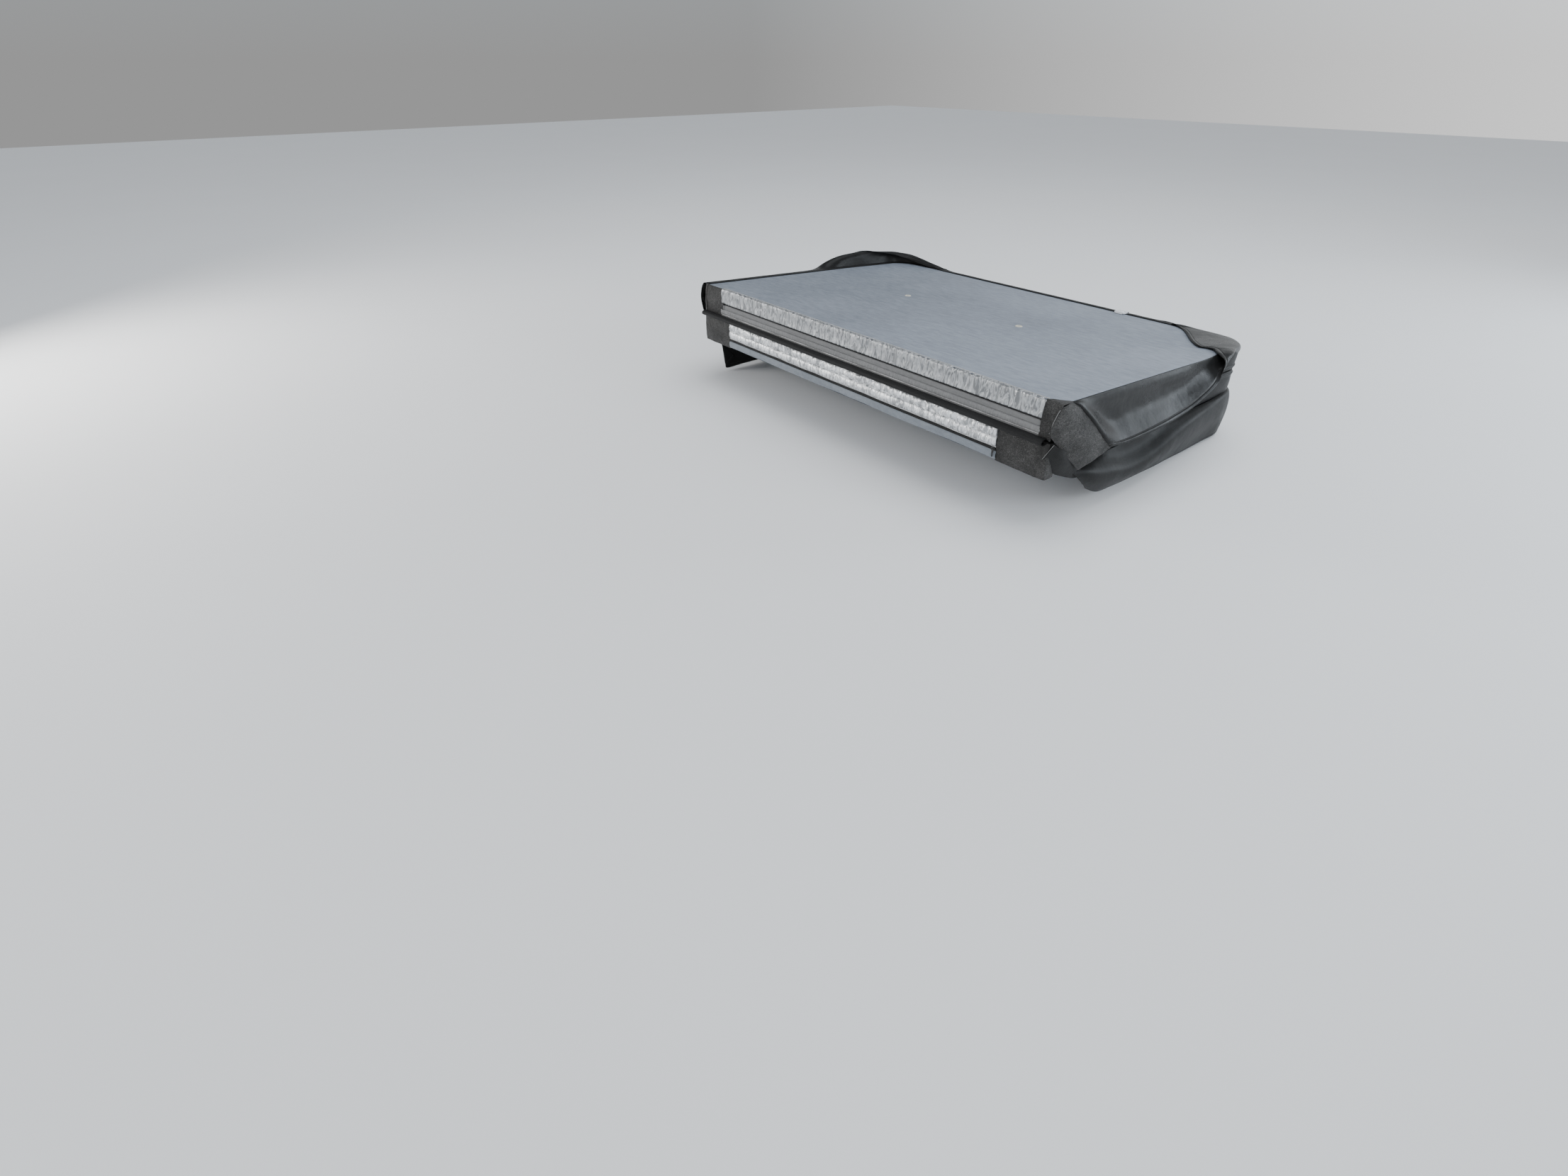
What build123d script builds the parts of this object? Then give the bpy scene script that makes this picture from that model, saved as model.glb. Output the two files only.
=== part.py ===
from build123d import *

import os
from math import atan2, cos, degrees, radians

# A two-panel folding spa cover, folded in half: the upper panel lies upside down on the lower one.
# Every panel piece is drawn in the panel's own frame, then placed. In that frame X runs along the
# hinge, Y runs away from the hinge face, Z runs up from the underside (the side that faces the water).
# The row's origin is the centre of the lower panel's underside.

# Driving dimensions, millimetres
PANEL_WIDTH = 1434
PANEL_DEPTH = 1000
HINGE_THICK = 95
FAR_THICK = 67
CORNER_R = 100
CLOSED_GAP = 24
FOLD_GAP = 4
SKIRT_WIDTH = 135
SKIRT_THICK = 2.5

# Layers, counted inwards from the jacket's outside
VINYL = 2
UNDERLINER = 1.5
FILM_INSET = 3
FILM = 0.6
CORE_INSET = 4
CHANNEL_GAUGE = 1.2
CHANNEL_FLANGE = 28
LINER = 1.5
WEBBING = 0.8
WEBBING_WIDTH = 58

# Skirts: where each one hangs, counted outwards from the jacket's wall
SKIRT_GAP = 0.5
DRAPE_GAP = 20
SKIRT_TOP = 2
SKIRT_START = 20
CORNER_CLEAR = 5
ARCH_HEIGHT = 55
ARCH_SIDE_START = 560
ARCH_FAR_END = 460
TUCK_LIFT = 0.5
TUCK_THICK = 3

# Hinge face trim
STRIP_THICK = 1.2
STRIP_TAIL = 25
STRIP_TIP_GAP = 0.2
PILLOW_LOW = 34
PILLOW_HIGH = 86
PILLOW_BULGE = 13
PILLOW_HALF = 575
FACE_SKIN = 2
PATCH_LOW = 2
PATCH_HIGH = 92
END_MARGIN = 2

# Zipper
TAPE_THICK = 1.2
TAPE_HEIGHT = 8
COIL_THICK = 1.8
COIL_HEIGHT = 4
SLIDER_LENGTH = 12
SLIDER_DEPTH = 3.8
SLIDER_HEIGHT = 8
SLIDER_GAP = 0.4
LUG_THICK = 1.4
LUG_REACH = 2.8
PULL_WIDTH = 4.6
PULL_THICK = 1.8
PULL_LENGTH = 21
PULL_PIN_R = 0.6
PULL_PIN_CLEAR = 0.08
PULL_STANDOFF = 1.4

# Small parts
GROMMET_X = 232
GROMMET_Y = 510
GROMMET_R = 11
GROMMET_HOLE_R = 5
GROMMET_SEAT = 0.1
HANDLE_HEIGHT = 38
HANDLE_LOW = 16
HANDLE_THICK = 3
HANDLE_BOW = 11
HANDLE_MID_Y = 450
HANDLE_SPANS = (60, 95, 135)
STRAP_X = 300
STRAP_WIDTH = 25
STRAP_THICK = 1.5
STRAP_LENGTH = 62
BUCKLE_WIDTH = 34
BUCKLE_LENGTH = 30
BUCKLE_THICK = 9
FLOP_START = 995
FLOP_LENGTH = 6

HALF_WIDTH = PANEL_WIDTH / 2
TAPER = degrees(atan2(HINGE_THICK - FAR_THICK, PANEL_DEPTH))
FOLD_AXIS_Z = HINGE_THICK + FOLD_GAP / 2
BIG = 4000


def top_at(y, inset=0):
    """Height of the sloping top at a distance from the hinge face."""
    return HINGE_THICK - (HINGE_THICK - FAR_THICK) * y / PANEL_DEPTH - inset


def plan(inset, front=0):
    """The panel's outline from above: square at the hinge, rounded at the far corners."""
    far = PANEL_DEPTH - inset
    face = Pos(0, (front + far) / 2) * Rectangle(PANEL_WIDTH - 2 * inset, far - front)
    return fillet(face.vertices().sort_by(Axis.Y)[-2:], CORNER_R - inset)


def along_hinge(points, half_length, middle=0):
    """A solid with one section, given as (y, z) points, along the hinge direction."""
    section = Plane.YZ * Polygon(*points, align=None)
    return Pos(middle, 0, 0) * extrude(section, half_length, both=True)


def slab(x_range, y_range, z_range):
    """A box between two values on each axis."""
    spans = (x_range, y_range, z_range)
    size = [high - low for low, high in spans]
    centre = [(high + low) / 2 for low, high in spans]
    return Pos(*centre) * Box(*size)


def tapered_block(inset, floor, front):
    """The panel's wedge, inset from the jacket's outside and cut off at a floor and a front."""
    far = PANEL_DEPTH - inset
    points = [(front, floor), (far, floor), (far, top_at(far, inset)), (front, top_at(front, inset))]
    return along_hinge(points, HALF_WIDTH) & extrude(plan(inset, front), HINGE_THICK * 2)


def jacket():
    """Marine vinyl top and side walls, open at the underside and at the hinge face."""
    return tapered_block(0, UNDERLINER, 0) - tapered_block(VINYL, 0, -1)


def vapor_barrier():
    """Sealed film bag round the core, open here at the hinge face, where the channel sits."""
    return tapered_block(FILM_INSET, FILM_INSET, FILM_INSET) - tapered_block(
        FILM_INSET + FILM, FILM_INSET + FILM, -1
    )


def stiffener_channel():
    """Folded steel C-channel that caps the core's thick edge."""
    face = CORE_INSET
    back = CORE_INSET + CHANNEL_FLANGE
    low = CORE_INSET
    gauge = CHANNEL_GAUGE
    points = [
        (face, low),
        (back, low),
        (back, low + gauge),
        (face + gauge, low + gauge),
        (face + gauge, top_at(face, CORE_INSET + gauge)),
        (back, top_at(back, CORE_INSET + gauge)),
        (back, top_at(back, CORE_INSET)),
        (face, top_at(face, CORE_INSET)),
    ]
    return along_hinge(points, HALF_WIDTH - 2 * CORE_INSET)


def foam_core():
    """Tapered expanded-polystyrene core, rebated for the channel."""
    return tapered_block(CORE_INSET, CORE_INSET, CORE_INSET) - stiffener_channel()


def hinge_webbing():
    """Reinforcing webbing sewn under the jacket's top, beside the hinge."""
    near = LINER + 0.5
    far = near + WEBBING_WIDTH
    inset = VINYL
    points = [
        (near, top_at(near, inset)),
        (far, top_at(far, inset)),
        (far, top_at(far, inset + WEBBING)),
        (near, top_at(near, inset + WEBBING)),
    ]
    return along_hinge(points, HALF_WIDTH - 2 * VINYL)


def hinge_liner():
    """Backing sheet that closes the jacket at the hinge face."""
    half = HALF_WIDTH - VINYL
    return slab((-half, half), (0, LINER), (UNDERLINER, top_at(LINER, VINYL)))


def underliner(lip_height):
    """Fabric underside with two drain holes and a lip turned up over the hinge face."""
    sheet = extrude(plan(0), UNDERLINER)
    if lip_height:
        half = PILLOW_HALF + FACE_SKIN
        sheet += slab((-half, half), (-UNDERLINER, 0), (0, lip_height))
    for x in (-GROMMET_X, GROMMET_X):
        sheet -= Pos(x, GROMMET_Y, 0) * Cylinder(GROMMET_R + GROMMET_SEAT, BIG)
    return sheet


def drain_grommets():
    """Two flush drain rings in the underliner."""
    ring = Cylinder(GROMMET_R, UNDERLINER) - Cylinder(GROMMET_HOLE_R, BIG)
    spots = [Pos(x, GROMMET_Y, UNDERLINER / 2) * ring for x in (-GROMMET_X, GROMMET_X)]
    return Compound(children=spots)


def hinge_strip():
    """This panel's half of the vinyl hinge: it lies on the top and reaches to the fold axis."""
    tip = STRIP_TIP_GAP - CLOSED_GAP / 2
    points = [
        (tip, HINGE_THICK),
        (0, HINGE_THICK),
        (STRIP_TAIL, top_at(STRIP_TAIL)),
        (STRIP_TAIL, top_at(STRIP_TAIL) + STRIP_THICK),
        (0, HINGE_THICK + STRIP_THICK),
        (tip, HINGE_THICK + STRIP_THICK),
    ]
    return along_hinge(points, HALF_WIDTH - 3)


def heat_seal_pillow():
    """Soft metallised pillow that fills the gap between the panels when the cover is closed."""
    middle = (PILLOW_LOW + PILLOW_HIGH) / 2
    bulge = ThreePointArc((0, PILLOW_LOW), (-PILLOW_BULGE, middle), (0, PILLOW_HIGH))
    back = Line((0, PILLOW_HIGH), (0, PILLOW_LOW))
    section = Plane.YZ * make_face(Wire([bulge, back]))
    return extrude(section, PILLOW_HALF, both=True)


def face_skin(x_range, z_range):
    """A flat strip of covering on the hinge face."""
    return slab(x_range, (-FACE_SKIN, 0), z_range)


def zipper_tape(x_range, z_mid):
    """Zipper tape sewn along the hinge face."""
    return slab(x_range, (-TAPE_THICK, 0), (z_mid - TAPE_HEIGHT / 2, z_mid + TAPE_HEIGHT / 2))


def zipper_coil(x_range, z_mid):
    """The closed coil of teeth on the tape, as one ribbed run."""
    front = -TAPE_THICK - COIL_THICK
    return slab(x_range, (front, -TAPE_THICK), (z_mid - COIL_HEIGHT / 2, z_mid + COIL_HEIGHT / 2))


def slider_front():
    """Y of the slider's outer face."""
    return -TAPE_THICK - COIL_THICK - SLIDER_GAP - SLIDER_DEPTH


def zipper_slider(x_mid, z_mid):
    """Slider with two lugs and the cross pin that the pull swings on."""
    front = slider_front()
    half = SLIDER_HEIGHT / 2
    x_range = (x_mid - SLIDER_LENGTH / 2, x_mid + SLIDER_LENGTH / 2)
    body = slab(x_range, (front, front + SLIDER_DEPTH), (z_mid - half, z_mid + half))
    body = fillet(body.edges().filter_by(Axis.Y), SLIDER_HEIGHT / 4)
    inner = PULL_WIDTH / 2 + SLIDER_GAP
    for side in (-1, 1):
        edges = sorted((x_mid + side * inner, x_mid + side * (inner + LUG_THICK)))
        body += slab(edges, (front - LUG_REACH, front), (z_mid - LUG_THICK, z_mid + LUG_THICK))
    pin = Pos(x_mid, front - PULL_STANDOFF, z_mid) * Rot(0, 90, 0) * Cylinder(PULL_PIN_R, 2 * inner)
    return body + pin


def zipper_pull(x_mid, z_mid, hang):
    """Pull tab on the slider's pin; hang is -1 towards the underside and +1 towards the top."""
    y_mid = slider_front() - PULL_STANDOFF
    ends = sorted((z_mid - hang * PULL_THICK / 2, z_mid + hang * PULL_LENGTH))
    x_range = (x_mid - PULL_WIDTH / 2, x_mid + PULL_WIDTH / 2)
    tab = slab(x_range, (y_mid - PULL_THICK / 2, y_mid + PULL_THICK / 2), ends)
    bore = Cylinder(PULL_PIN_R + PULL_PIN_CLEAR, BIG)
    return tab - Pos(x_mid, y_mid, z_mid) * Rot(0, 90, 0) * bore


def side_flap(side, y_range, offset, z_range):
    """Flat skirt along one side edge, offset outwards from the jacket's wall."""
    inner = HALF_WIDTH + offset
    return slab(sorted((side * inner, side * (inner + SKIRT_THICK))), y_range, z_range)


def far_flap(x_range, offset, z_range):
    """Flat skirt along the far edge, offset outwards from the jacket's wall."""
    inner = PANEL_DEPTH + offset
    return slab(x_range, (inner, inner + SKIRT_THICK), z_range)


def hanging_corner(side):
    """Skirt round a far corner, hanging straight down from the seam."""
    inner = CORNER_R + SKIRT_GAP
    centre = Pos(side * (HALF_WIDTH - CORNER_R), PANEL_DEPTH - CORNER_R, 0)
    ring = Cylinder(inner + SKIRT_THICK, SKIRT_WIDTH - SKIRT_TOP) - Cylinder(inner, BIG)
    quarter = slab(sorted((0, side * BIG)), (0, BIG), (-BIG, BIG))
    return centre * (Pos(0, 0, -(SKIRT_WIDTH + SKIRT_TOP) / 2) * ring & quarter)


def standing_arch():
    """The left corner's skirt, standing on the seam of the upside-down panel."""
    wall = extrude(plan(0), -ARCH_HEIGHT) - Pos(0, 0, 1) * extrude(plan(SKIRT_THICK, -BIG), -BIG)
    side_part = slab((-BIG, -CORNER_R), (ARCH_SIDE_START, BIG), (-BIG, -TUCK_LIFT))
    far_part = slab((-BIG, -ARCH_FAR_END), (ARCH_SIDE_START, BIG), (-BIG, -TUCK_LIFT))
    return wall & side_part & far_part


def tucked_corner():
    """The right corner's skirt, folded inwards flat on the underliner."""
    points = [
        (HALF_WIDTH - 235, PANEL_DEPTH),
        (HALF_WIDTH - 155, PANEL_DEPTH - 90),
        (HALF_WIDTH - 47, PANEL_DEPTH - 195),
        (HALF_WIDTH, PANEL_DEPTH - 205),
        (HALF_WIDTH, PANEL_DEPTH),
    ]
    sheet = extrude(Polygon(*points, align=None) & plan(1), -TUCK_THICK)
    return Pos(0, 0, -TUCK_LIFT) * sheet


def handle(side):
    """Carrying strap sewn to a side wall at both ends, bowed out to let fingers in."""
    wall = HALF_WIDTH
    inner, ramp, outer = HANDLE_SPANS
    inside = [(0, -outer), (0, -ramp), (HANDLE_BOW, -inner), (HANDLE_BOW, inner), (0, ramp), (0, outer)]
    outside = [(x + HANDLE_THICK, y) for x, y in reversed(inside)]
    points = [(side * (wall + x), HANDLE_MID_Y + y) for x, y in inside + outside]
    strap = make_face(Polyline(*points, close=True))
    return Pos(0, 0, HANDLE_LOW) * extrude(strap, dir=(0, 0, 1), amount=HANDLE_HEIGHT)


def skirt_strap(x_mid, y_face, hang):
    """Tie-down strap against the far skirt; y_face is its inner face, hang its Z direction."""
    ends = sorted((hang * SKIRT_TOP * 2, hang * STRAP_LENGTH))
    x_range = (x_mid - STRAP_WIDTH / 2, x_mid + STRAP_WIDTH / 2)
    return slab(x_range, (y_face, y_face + STRAP_THICK), ends)


def skirt_buckle(x_mid, y_face, hang):
    """Buckle on the end of a tie-down strap that hangs beside the far skirt."""
    ends = sorted((hang * STRAP_LENGTH, hang * (STRAP_LENGTH + BUCKLE_LENGTH)))
    x_range = (x_mid - BUCKLE_WIDTH / 2, x_mid + BUCKLE_WIDTH / 2)
    return slab(x_range, (y_face, y_face + BUCKLE_THICK), ends)


def flopped_strap():
    """Short strap from the far seam, lying inwards over the underliner."""
    x_range = (STRAP_X - STRAP_WIDTH / 2, STRAP_X + STRAP_WIDTH / 2)
    z_mid = -TUCK_LIFT - BUCKLE_THICK / 2
    z_range = (z_mid - STRAP_THICK / 2, z_mid + STRAP_THICK / 2)
    return slab(x_range, (FLOP_START - FLOP_LENGTH, FLOP_START), z_range)


def flopped_buckle():
    """White buckle on the short strap, lying on the underliner."""
    x_range = (STRAP_X - BUCKLE_WIDTH / 2, STRAP_X + BUCKLE_WIDTH / 2)
    end = FLOP_START - FLOP_LENGTH
    return slab(x_range, (end - BUCKLE_LENGTH, end), (-TUCK_LIFT - BUCKLE_THICK, -TUCK_LIFT))


def common_pieces(lip_height):
    """The pieces that both panels have, built alike."""
    return {
        "foam_core": foam_core(),
        "stiffener_channel": stiffener_channel(),
        "vapor_barrier": vapor_barrier(),
        "jacket": jacket(),
        "hinge_webbing": hinge_webbing(),
        "hinge_liner": hinge_liner(),
        "underliner": underliner(lip_height),
        "drain_grommets": drain_grommets(),
        "hinge_strip": hinge_strip(),
        "handle_right": handle(1),
        "handle_left": handle(-1),
    }


def zipper_pieces(x_range, z_mid, slider_x, hang):
    """Tape, coil, slider and pull of one zipper."""
    return {
        "zipper_tape": zipper_tape(x_range, z_mid),
        "zipper_coil": zipper_coil(x_range, z_mid),
        "zipper_slider": zipper_slider(slider_x, z_mid),
        "zipper_pull": zipper_pull(slider_x, z_mid, hang),
    }


def end_patches(left_range, right_range):
    """Grained vinyl patches at both ends of the hinge face."""
    return {
        "end_patch_left": face_skin(left_range, (PATCH_LOW, PATCH_HIGH)),
        "end_patch_right": face_skin(right_range, (PATCH_LOW, PATCH_HIGH)),
    }


def lower_pieces():
    """The lower panel: pillow on its hinge face, skirts hanging straight down."""
    end = HALF_WIDTH - END_MARGIN
    face = PILLOW_HALF + 3
    side_end = PANEL_DEPTH - CORNER_R - CORNER_CLEAR
    far_end = HALF_WIDTH - CORNER_R - CORNER_CLEAR
    hang = (-SKIRT_WIDTH, -SKIRT_TOP)
    strap_face = PANEL_DEPTH + SKIRT_GAP + SKIRT_THICK + SKIRT_GAP
    zipper_z = 27
    pieces = common_pieces(lip_height=20)
    pieces.update(zipper_pieces((-face, face), zipper_z, PILLOW_HALF - 5, -1))
    pieces.update(end_patches((-end, -face - 1), (face + 1, end)))
    pieces["heat_seal_pillow"] = heat_seal_pillow()
    for name, side in (("right", 1), ("left", -1)):
        pieces[f"skirt_{name}"] = side_flap(side, (SKIRT_START, side_end), SKIRT_GAP, hang)
        pieces[f"skirt_corner_{name}"] = hanging_corner(side)
        pieces[f"strap_{name}"] = skirt_strap(side * STRAP_X, strap_face, -1)
        pieces[f"buckle_{name}"] = skirt_buckle(side * STRAP_X, strap_face, -1)
    pieces["skirt_far"] = far_flap((-far_end, far_end), SKIRT_GAP, hang)
    return pieces


def upper_pieces():
    """The upper panel: it is stored upside down, so its skirts fall back past its own walls."""
    end = HALF_WIDTH - END_MARGIN
    left = -622
    right = 690
    drape = (SKIRT_TOP, SKIRT_WIDTH)
    strap_face = PANEL_DEPTH + DRAPE_GAP - SKIRT_GAP - BUCKLE_THICK
    zipper_z = 48
    pieces = common_pieces(lip_height=0)
    pieces.update(zipper_pieces((left, right), zipper_z, left + SLIDER_LENGTH, 1))
    pieces.update(end_patches((-end, left - 1), (right + 1, end)))
    pieces["silver_strip"] = face_skin((left, right), (PATCH_LOW, zipper_z - TAPE_HEIGHT / 2))
    pieces["pucker_band"] = face_skin((left, right), (zipper_z + TAPE_HEIGHT / 2, PATCH_HIGH))
    pieces["skirt_right"] = side_flap(1, (SKIRT_START, 785), DRAPE_GAP, drape)
    pieces["skirt_left"] = side_flap(-1, (SKIRT_START, 545), DRAPE_GAP, drape)
    pieces["skirt_far"] = far_flap((-445, 470), DRAPE_GAP, drape)
    pieces["skirt_corner_left"] = standing_arch()
    pieces["skirt_corner_right"] = tucked_corner()
    pieces["strap_left"] = skirt_strap(-STRAP_X, strap_face, 1)
    pieces["buckle_left"] = skirt_buckle(-STRAP_X, strap_face, 1)
    pieces["strap_right"] = flopped_strap()
    pieces["buckle_right"] = flopped_buckle()
    return pieces


def place_lower(shape):
    """Panel frame to row frame, for the lower panel."""
    return Pos(0, -PANEL_DEPTH / 2, 0) * shape


def place_upper(shape):
    """Panel frame to row frame, for the upper panel: upside down, swung about the fold axis."""
    axis_y = -PANEL_DEPTH / 2 - CLOSED_GAP / 2
    to_axis = Pos(0, CLOSED_GAP / 2, FOLD_AXIS_Z)
    swing = Pos(0, axis_y, FOLD_AXIS_Z) * Rot(-2 * TAPER, 0, 0)
    return swing * to_axis * mirror(shape, Plane.XY)


def main():
    """Write one STEP for each piece."""
    os.makedirs("parts", exist_ok=True)
    for panel, pieces, place in (
        ("lower", lower_pieces(), place_lower),
        ("upper", upper_pieces(), place_upper),
    ):
        for name, shape in pieces.items():
            export_step(place(shape), f"parts/{panel}_{name}.step")
    hem_drop = SKIRT_WIDTH * cos(radians(2 * TAPER))
    print(f"taper {TAPER:.3f} deg, fold range {180 + 2 * TAPER:.3f} deg, hem drop {hem_drop:.1f} mm")


main()
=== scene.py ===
"""Looks for the folded spa cover: soft goods, small parts, materials, camera and lights."""

import math

import bmesh
import bpy
import numpy as np
from mathutils import Matrix, Vector


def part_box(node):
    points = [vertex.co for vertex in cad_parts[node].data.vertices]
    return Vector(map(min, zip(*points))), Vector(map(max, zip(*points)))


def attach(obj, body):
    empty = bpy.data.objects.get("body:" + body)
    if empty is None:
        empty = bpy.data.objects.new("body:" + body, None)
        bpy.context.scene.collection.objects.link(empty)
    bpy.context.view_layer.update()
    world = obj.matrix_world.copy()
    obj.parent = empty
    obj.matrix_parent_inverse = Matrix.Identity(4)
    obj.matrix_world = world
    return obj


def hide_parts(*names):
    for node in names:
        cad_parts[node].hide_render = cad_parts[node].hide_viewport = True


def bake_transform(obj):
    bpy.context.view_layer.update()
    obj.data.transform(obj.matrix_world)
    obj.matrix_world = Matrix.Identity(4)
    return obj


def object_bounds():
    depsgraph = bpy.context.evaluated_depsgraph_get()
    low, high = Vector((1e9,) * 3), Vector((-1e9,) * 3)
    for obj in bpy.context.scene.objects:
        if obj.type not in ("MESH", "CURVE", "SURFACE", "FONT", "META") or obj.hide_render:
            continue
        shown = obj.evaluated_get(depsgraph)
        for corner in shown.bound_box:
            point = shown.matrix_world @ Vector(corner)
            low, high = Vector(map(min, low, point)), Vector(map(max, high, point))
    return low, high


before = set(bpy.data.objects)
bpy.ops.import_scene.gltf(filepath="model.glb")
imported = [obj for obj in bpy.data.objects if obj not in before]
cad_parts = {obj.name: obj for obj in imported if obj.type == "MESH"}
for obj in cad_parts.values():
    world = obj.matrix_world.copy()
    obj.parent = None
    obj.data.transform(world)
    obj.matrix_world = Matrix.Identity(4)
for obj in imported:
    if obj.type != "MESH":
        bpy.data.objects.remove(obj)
cad_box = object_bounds()

# ---------------------------------------------------------------- sizes, in metres, as in part.py
HALF_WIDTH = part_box("lower_jacket")[1].x
HINGE_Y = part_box("lower_jacket")[0].y
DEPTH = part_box("lower_jacket")[1].y - HINGE_Y
HINGE_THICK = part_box("lower_jacket")[1].z
FAR_THICK = 0.067
CORNER_R = 0.100
SEAM_OUT = 0.0115
SHEET = 0.0022
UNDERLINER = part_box("upper_underliner")
FOLD_Y = -0.512
FOLD_Z = 0.097
TILT = math.asin((UNDERLINER[1].z - UNDERLINER[0].z - 0.0015) / DEPTH)


def lower(points):
    """Panel points (x along the hinge, y from the hinge face, z from the underside) of the lower panel."""
    p = np.asarray(points, float)
    return np.stack([p[..., 0], p[..., 1] + HINGE_Y, p[..., 2]], -1)


def upper(points):
    """The same for the upper panel, which lies upside down on the lower one."""
    p = np.asarray(points, float)
    out, up = p[..., 1] - (FOLD_Y - HINGE_Y), FOLD_Z - p[..., 2]
    y = FOLD_Y + out * math.cos(TILT) + up * math.sin(TILT)
    z = FOLD_Z - out * math.sin(TILT) + up * math.cos(TILT)
    return np.stack([p[..., 0], y, z], -1)


def top_height(y):
    """Panel thickness at panel distance y from the hinge face."""
    return HINGE_THICK - (HINGE_THICK - FAR_THICK) * np.asarray(y) / DEPTH


def seam_height(y):
    """Row height of the upper panel's underside at row position y."""
    front = upper([0, 0, 0])
    return front[2] - math.tan(TILT) * (np.asarray(y) - front[1])


def draw_in(points):
    """Moves the seam of the upper panel's skirts in towards the far corners, where the skirts pull on it."""
    p = np.array(points, float)
    far = HINGE_Y + DEPTH - CORNER_R
    start = np.stack([np.clip(p[..., 0], CORNER_R - HALF_WIDTH, HALF_WIDTH - CORNER_R),
                      np.minimum(p[..., 1], far)], -1)
    reach = p[..., :2] - start
    length = np.linalg.norm(reach, axis=-1)
    t = np.clip((p[..., 1] - 0.15) / 0.25, 0, 1)
    pull = SEAM_OUT * t * t * (3 - 2 * t) * np.clip(length / 0.05 - 1, 0, 1)
    p[..., :2] -= reach * (pull / np.maximum(length, 1e-6))[..., None]
    return p


# ---------------------------------------------------------------- mesh helpers
def ripple(points, size, seed):
    """A smooth random height between about -1 and 1 at each point, with bumps about size metres across."""
    rng = np.random.default_rng(seed)
    waves = rng.normal(size=(12, 3)) * (2.0 / size)
    phases = rng.uniform(0, 2 * math.pi, 12)
    return np.sin(points @ waves.T + phases).mean(-1) * 2.0


def spline(values, at):
    """Catmull-Rom spline through values[0], values[1], ... at positions at, counted in values."""
    v = np.asarray(values, float)
    v = np.concatenate([[2 * v[0] - v[1]], v, [2 * v[-1] - v[-2]]])
    i = np.clip(np.floor(at).astype(int), 0, len(v) - 4)
    t = (np.asarray(at) - i).reshape((-1,) + (1,) * (v.ndim - 1))
    a, b, c, d = v[i], v[i + 1], v[i + 2], v[i + 3]
    return 0.5 * (2 * b + (c - a) * t + (2 * a - 5 * b + 4 * c - d) * t**2 + (3 * b - a - 3 * c + d) * t**3)


def surface(net, rows, cols):
    """A smooth surface of rows x cols points through a net of control points."""
    net = np.asarray(net, float)
    along = spline(net, np.linspace(0, len(net) - 1, rows))
    across = spline(np.swapaxes(along, 0, 1), np.linspace(0, net.shape[1] - 1, cols))
    return np.swapaxes(across, 0, 1)


def normals(p):
    """Unit normals of a grid of points."""
    n = np.cross(np.gradient(p, axis=0), np.gradient(p, axis=1))
    return n / np.maximum(np.linalg.norm(n, axis=-1, keepdims=True), 1e-12)


def mesh_object(name, points, faces, uv=None):
    mesh = bpy.data.meshes.new(name)
    mesh.from_pydata([tuple(p) for p in np.asarray(points).reshape(-1, 3)], [], [tuple(f) for f in faces])
    if uv is not None:
        layer = mesh.uv_layers.new(name="cloth")
        corner = np.zeros(len(mesh.loops), np.int32)
        mesh.loops.foreach_get("vertex_index", corner)
        layer.data.foreach_set("uv", np.asarray(uv, np.float32).reshape(-1, 2)[corner].ravel())
    mesh.shade_smooth()
    obj = bpy.data.objects.new(name, mesh)
    bpy.context.scene.collection.objects.link(obj)
    return obj


def grid_faces(rows, cols, offset=0, flip=False):
    i = np.arange(rows * cols).reshape(rows, cols) + offset
    quads = [i[:-1, :-1], i[1:, :-1], i[1:, 1:], i[:-1, 1:]]
    return np.stack(quads[::-1] if flip else quads, -1).reshape(-1, 4)


def cloth_uv(p, from_hem=False):
    """Distances along and across a grid, in metres, so that stitches and gathers keep their real size."""
    along = np.linalg.norm(np.diff(p, axis=0), axis=-1).mean(1)
    across = np.linalg.norm(np.diff(p, axis=1), axis=-1)
    u = np.concatenate([[0], np.cumsum(along)])[:, None] * np.ones(p.shape[1])
    v = np.concatenate([np.zeros((len(p), 1)), np.cumsum(across, 1)], 1)
    if from_hem:
        v = v[:, -1:] - v
    return np.stack([u, v], -1)


def apply_all(obj):
    """Replaces obj's mesh with its evaluated one."""
    graph = bpy.context.evaluated_depsgraph_get()
    mesh = bpy.data.meshes.new_from_object(obj.evaluated_get(graph), preserve_all_data_layers=True,
                                           depsgraph=graph)
    obj.modifiers.clear()
    obj.data = mesh
    return obj


def grid_object(name, p, thickness=0.0, inwards=-1, flip=False, from_hem=False):
    """A sheet through a grid of points; thickness grows behind it."""
    obj = mesh_object(name, p, grid_faces(*p.shape[:2], flip=flip), cloth_uv(p, from_hem))
    if thickness:
        solid = obj.modifiers.new("thickness", "SOLIDIFY")
        solid.thickness = thickness
        solid.offset = inwards
        apply_all(obj)
    return obj


def weld(obj, distance=1e-5):
    mesh = bmesh.new()
    mesh.from_mesh(obj.data)
    bmesh.ops.remove_doubles(mesh, verts=mesh.verts, dist=distance)
    mesh.to_mesh(obj.data)
    mesh.free()
    obj.data.shade_smooth()
    return obj


def joined(name, parts):
    """One object from several, which keep their materials."""
    target = parts[0]
    with bpy.context.temp_override(active_object=target, selected_editable_objects=parts,
                                   selected_objects=parts, object=target):
        bpy.ops.object.join()
    target.name = name
    return target


def dress(obj, body, slot, material, *nodes):
    """Puts a finished piece on its body with its material and the nodes it stands for."""
    obj.data.materials.clear()
    obj.data.materials.append(material)
    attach(obj, body)
    if nodes:
        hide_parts(*nodes)
    return obj


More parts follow.
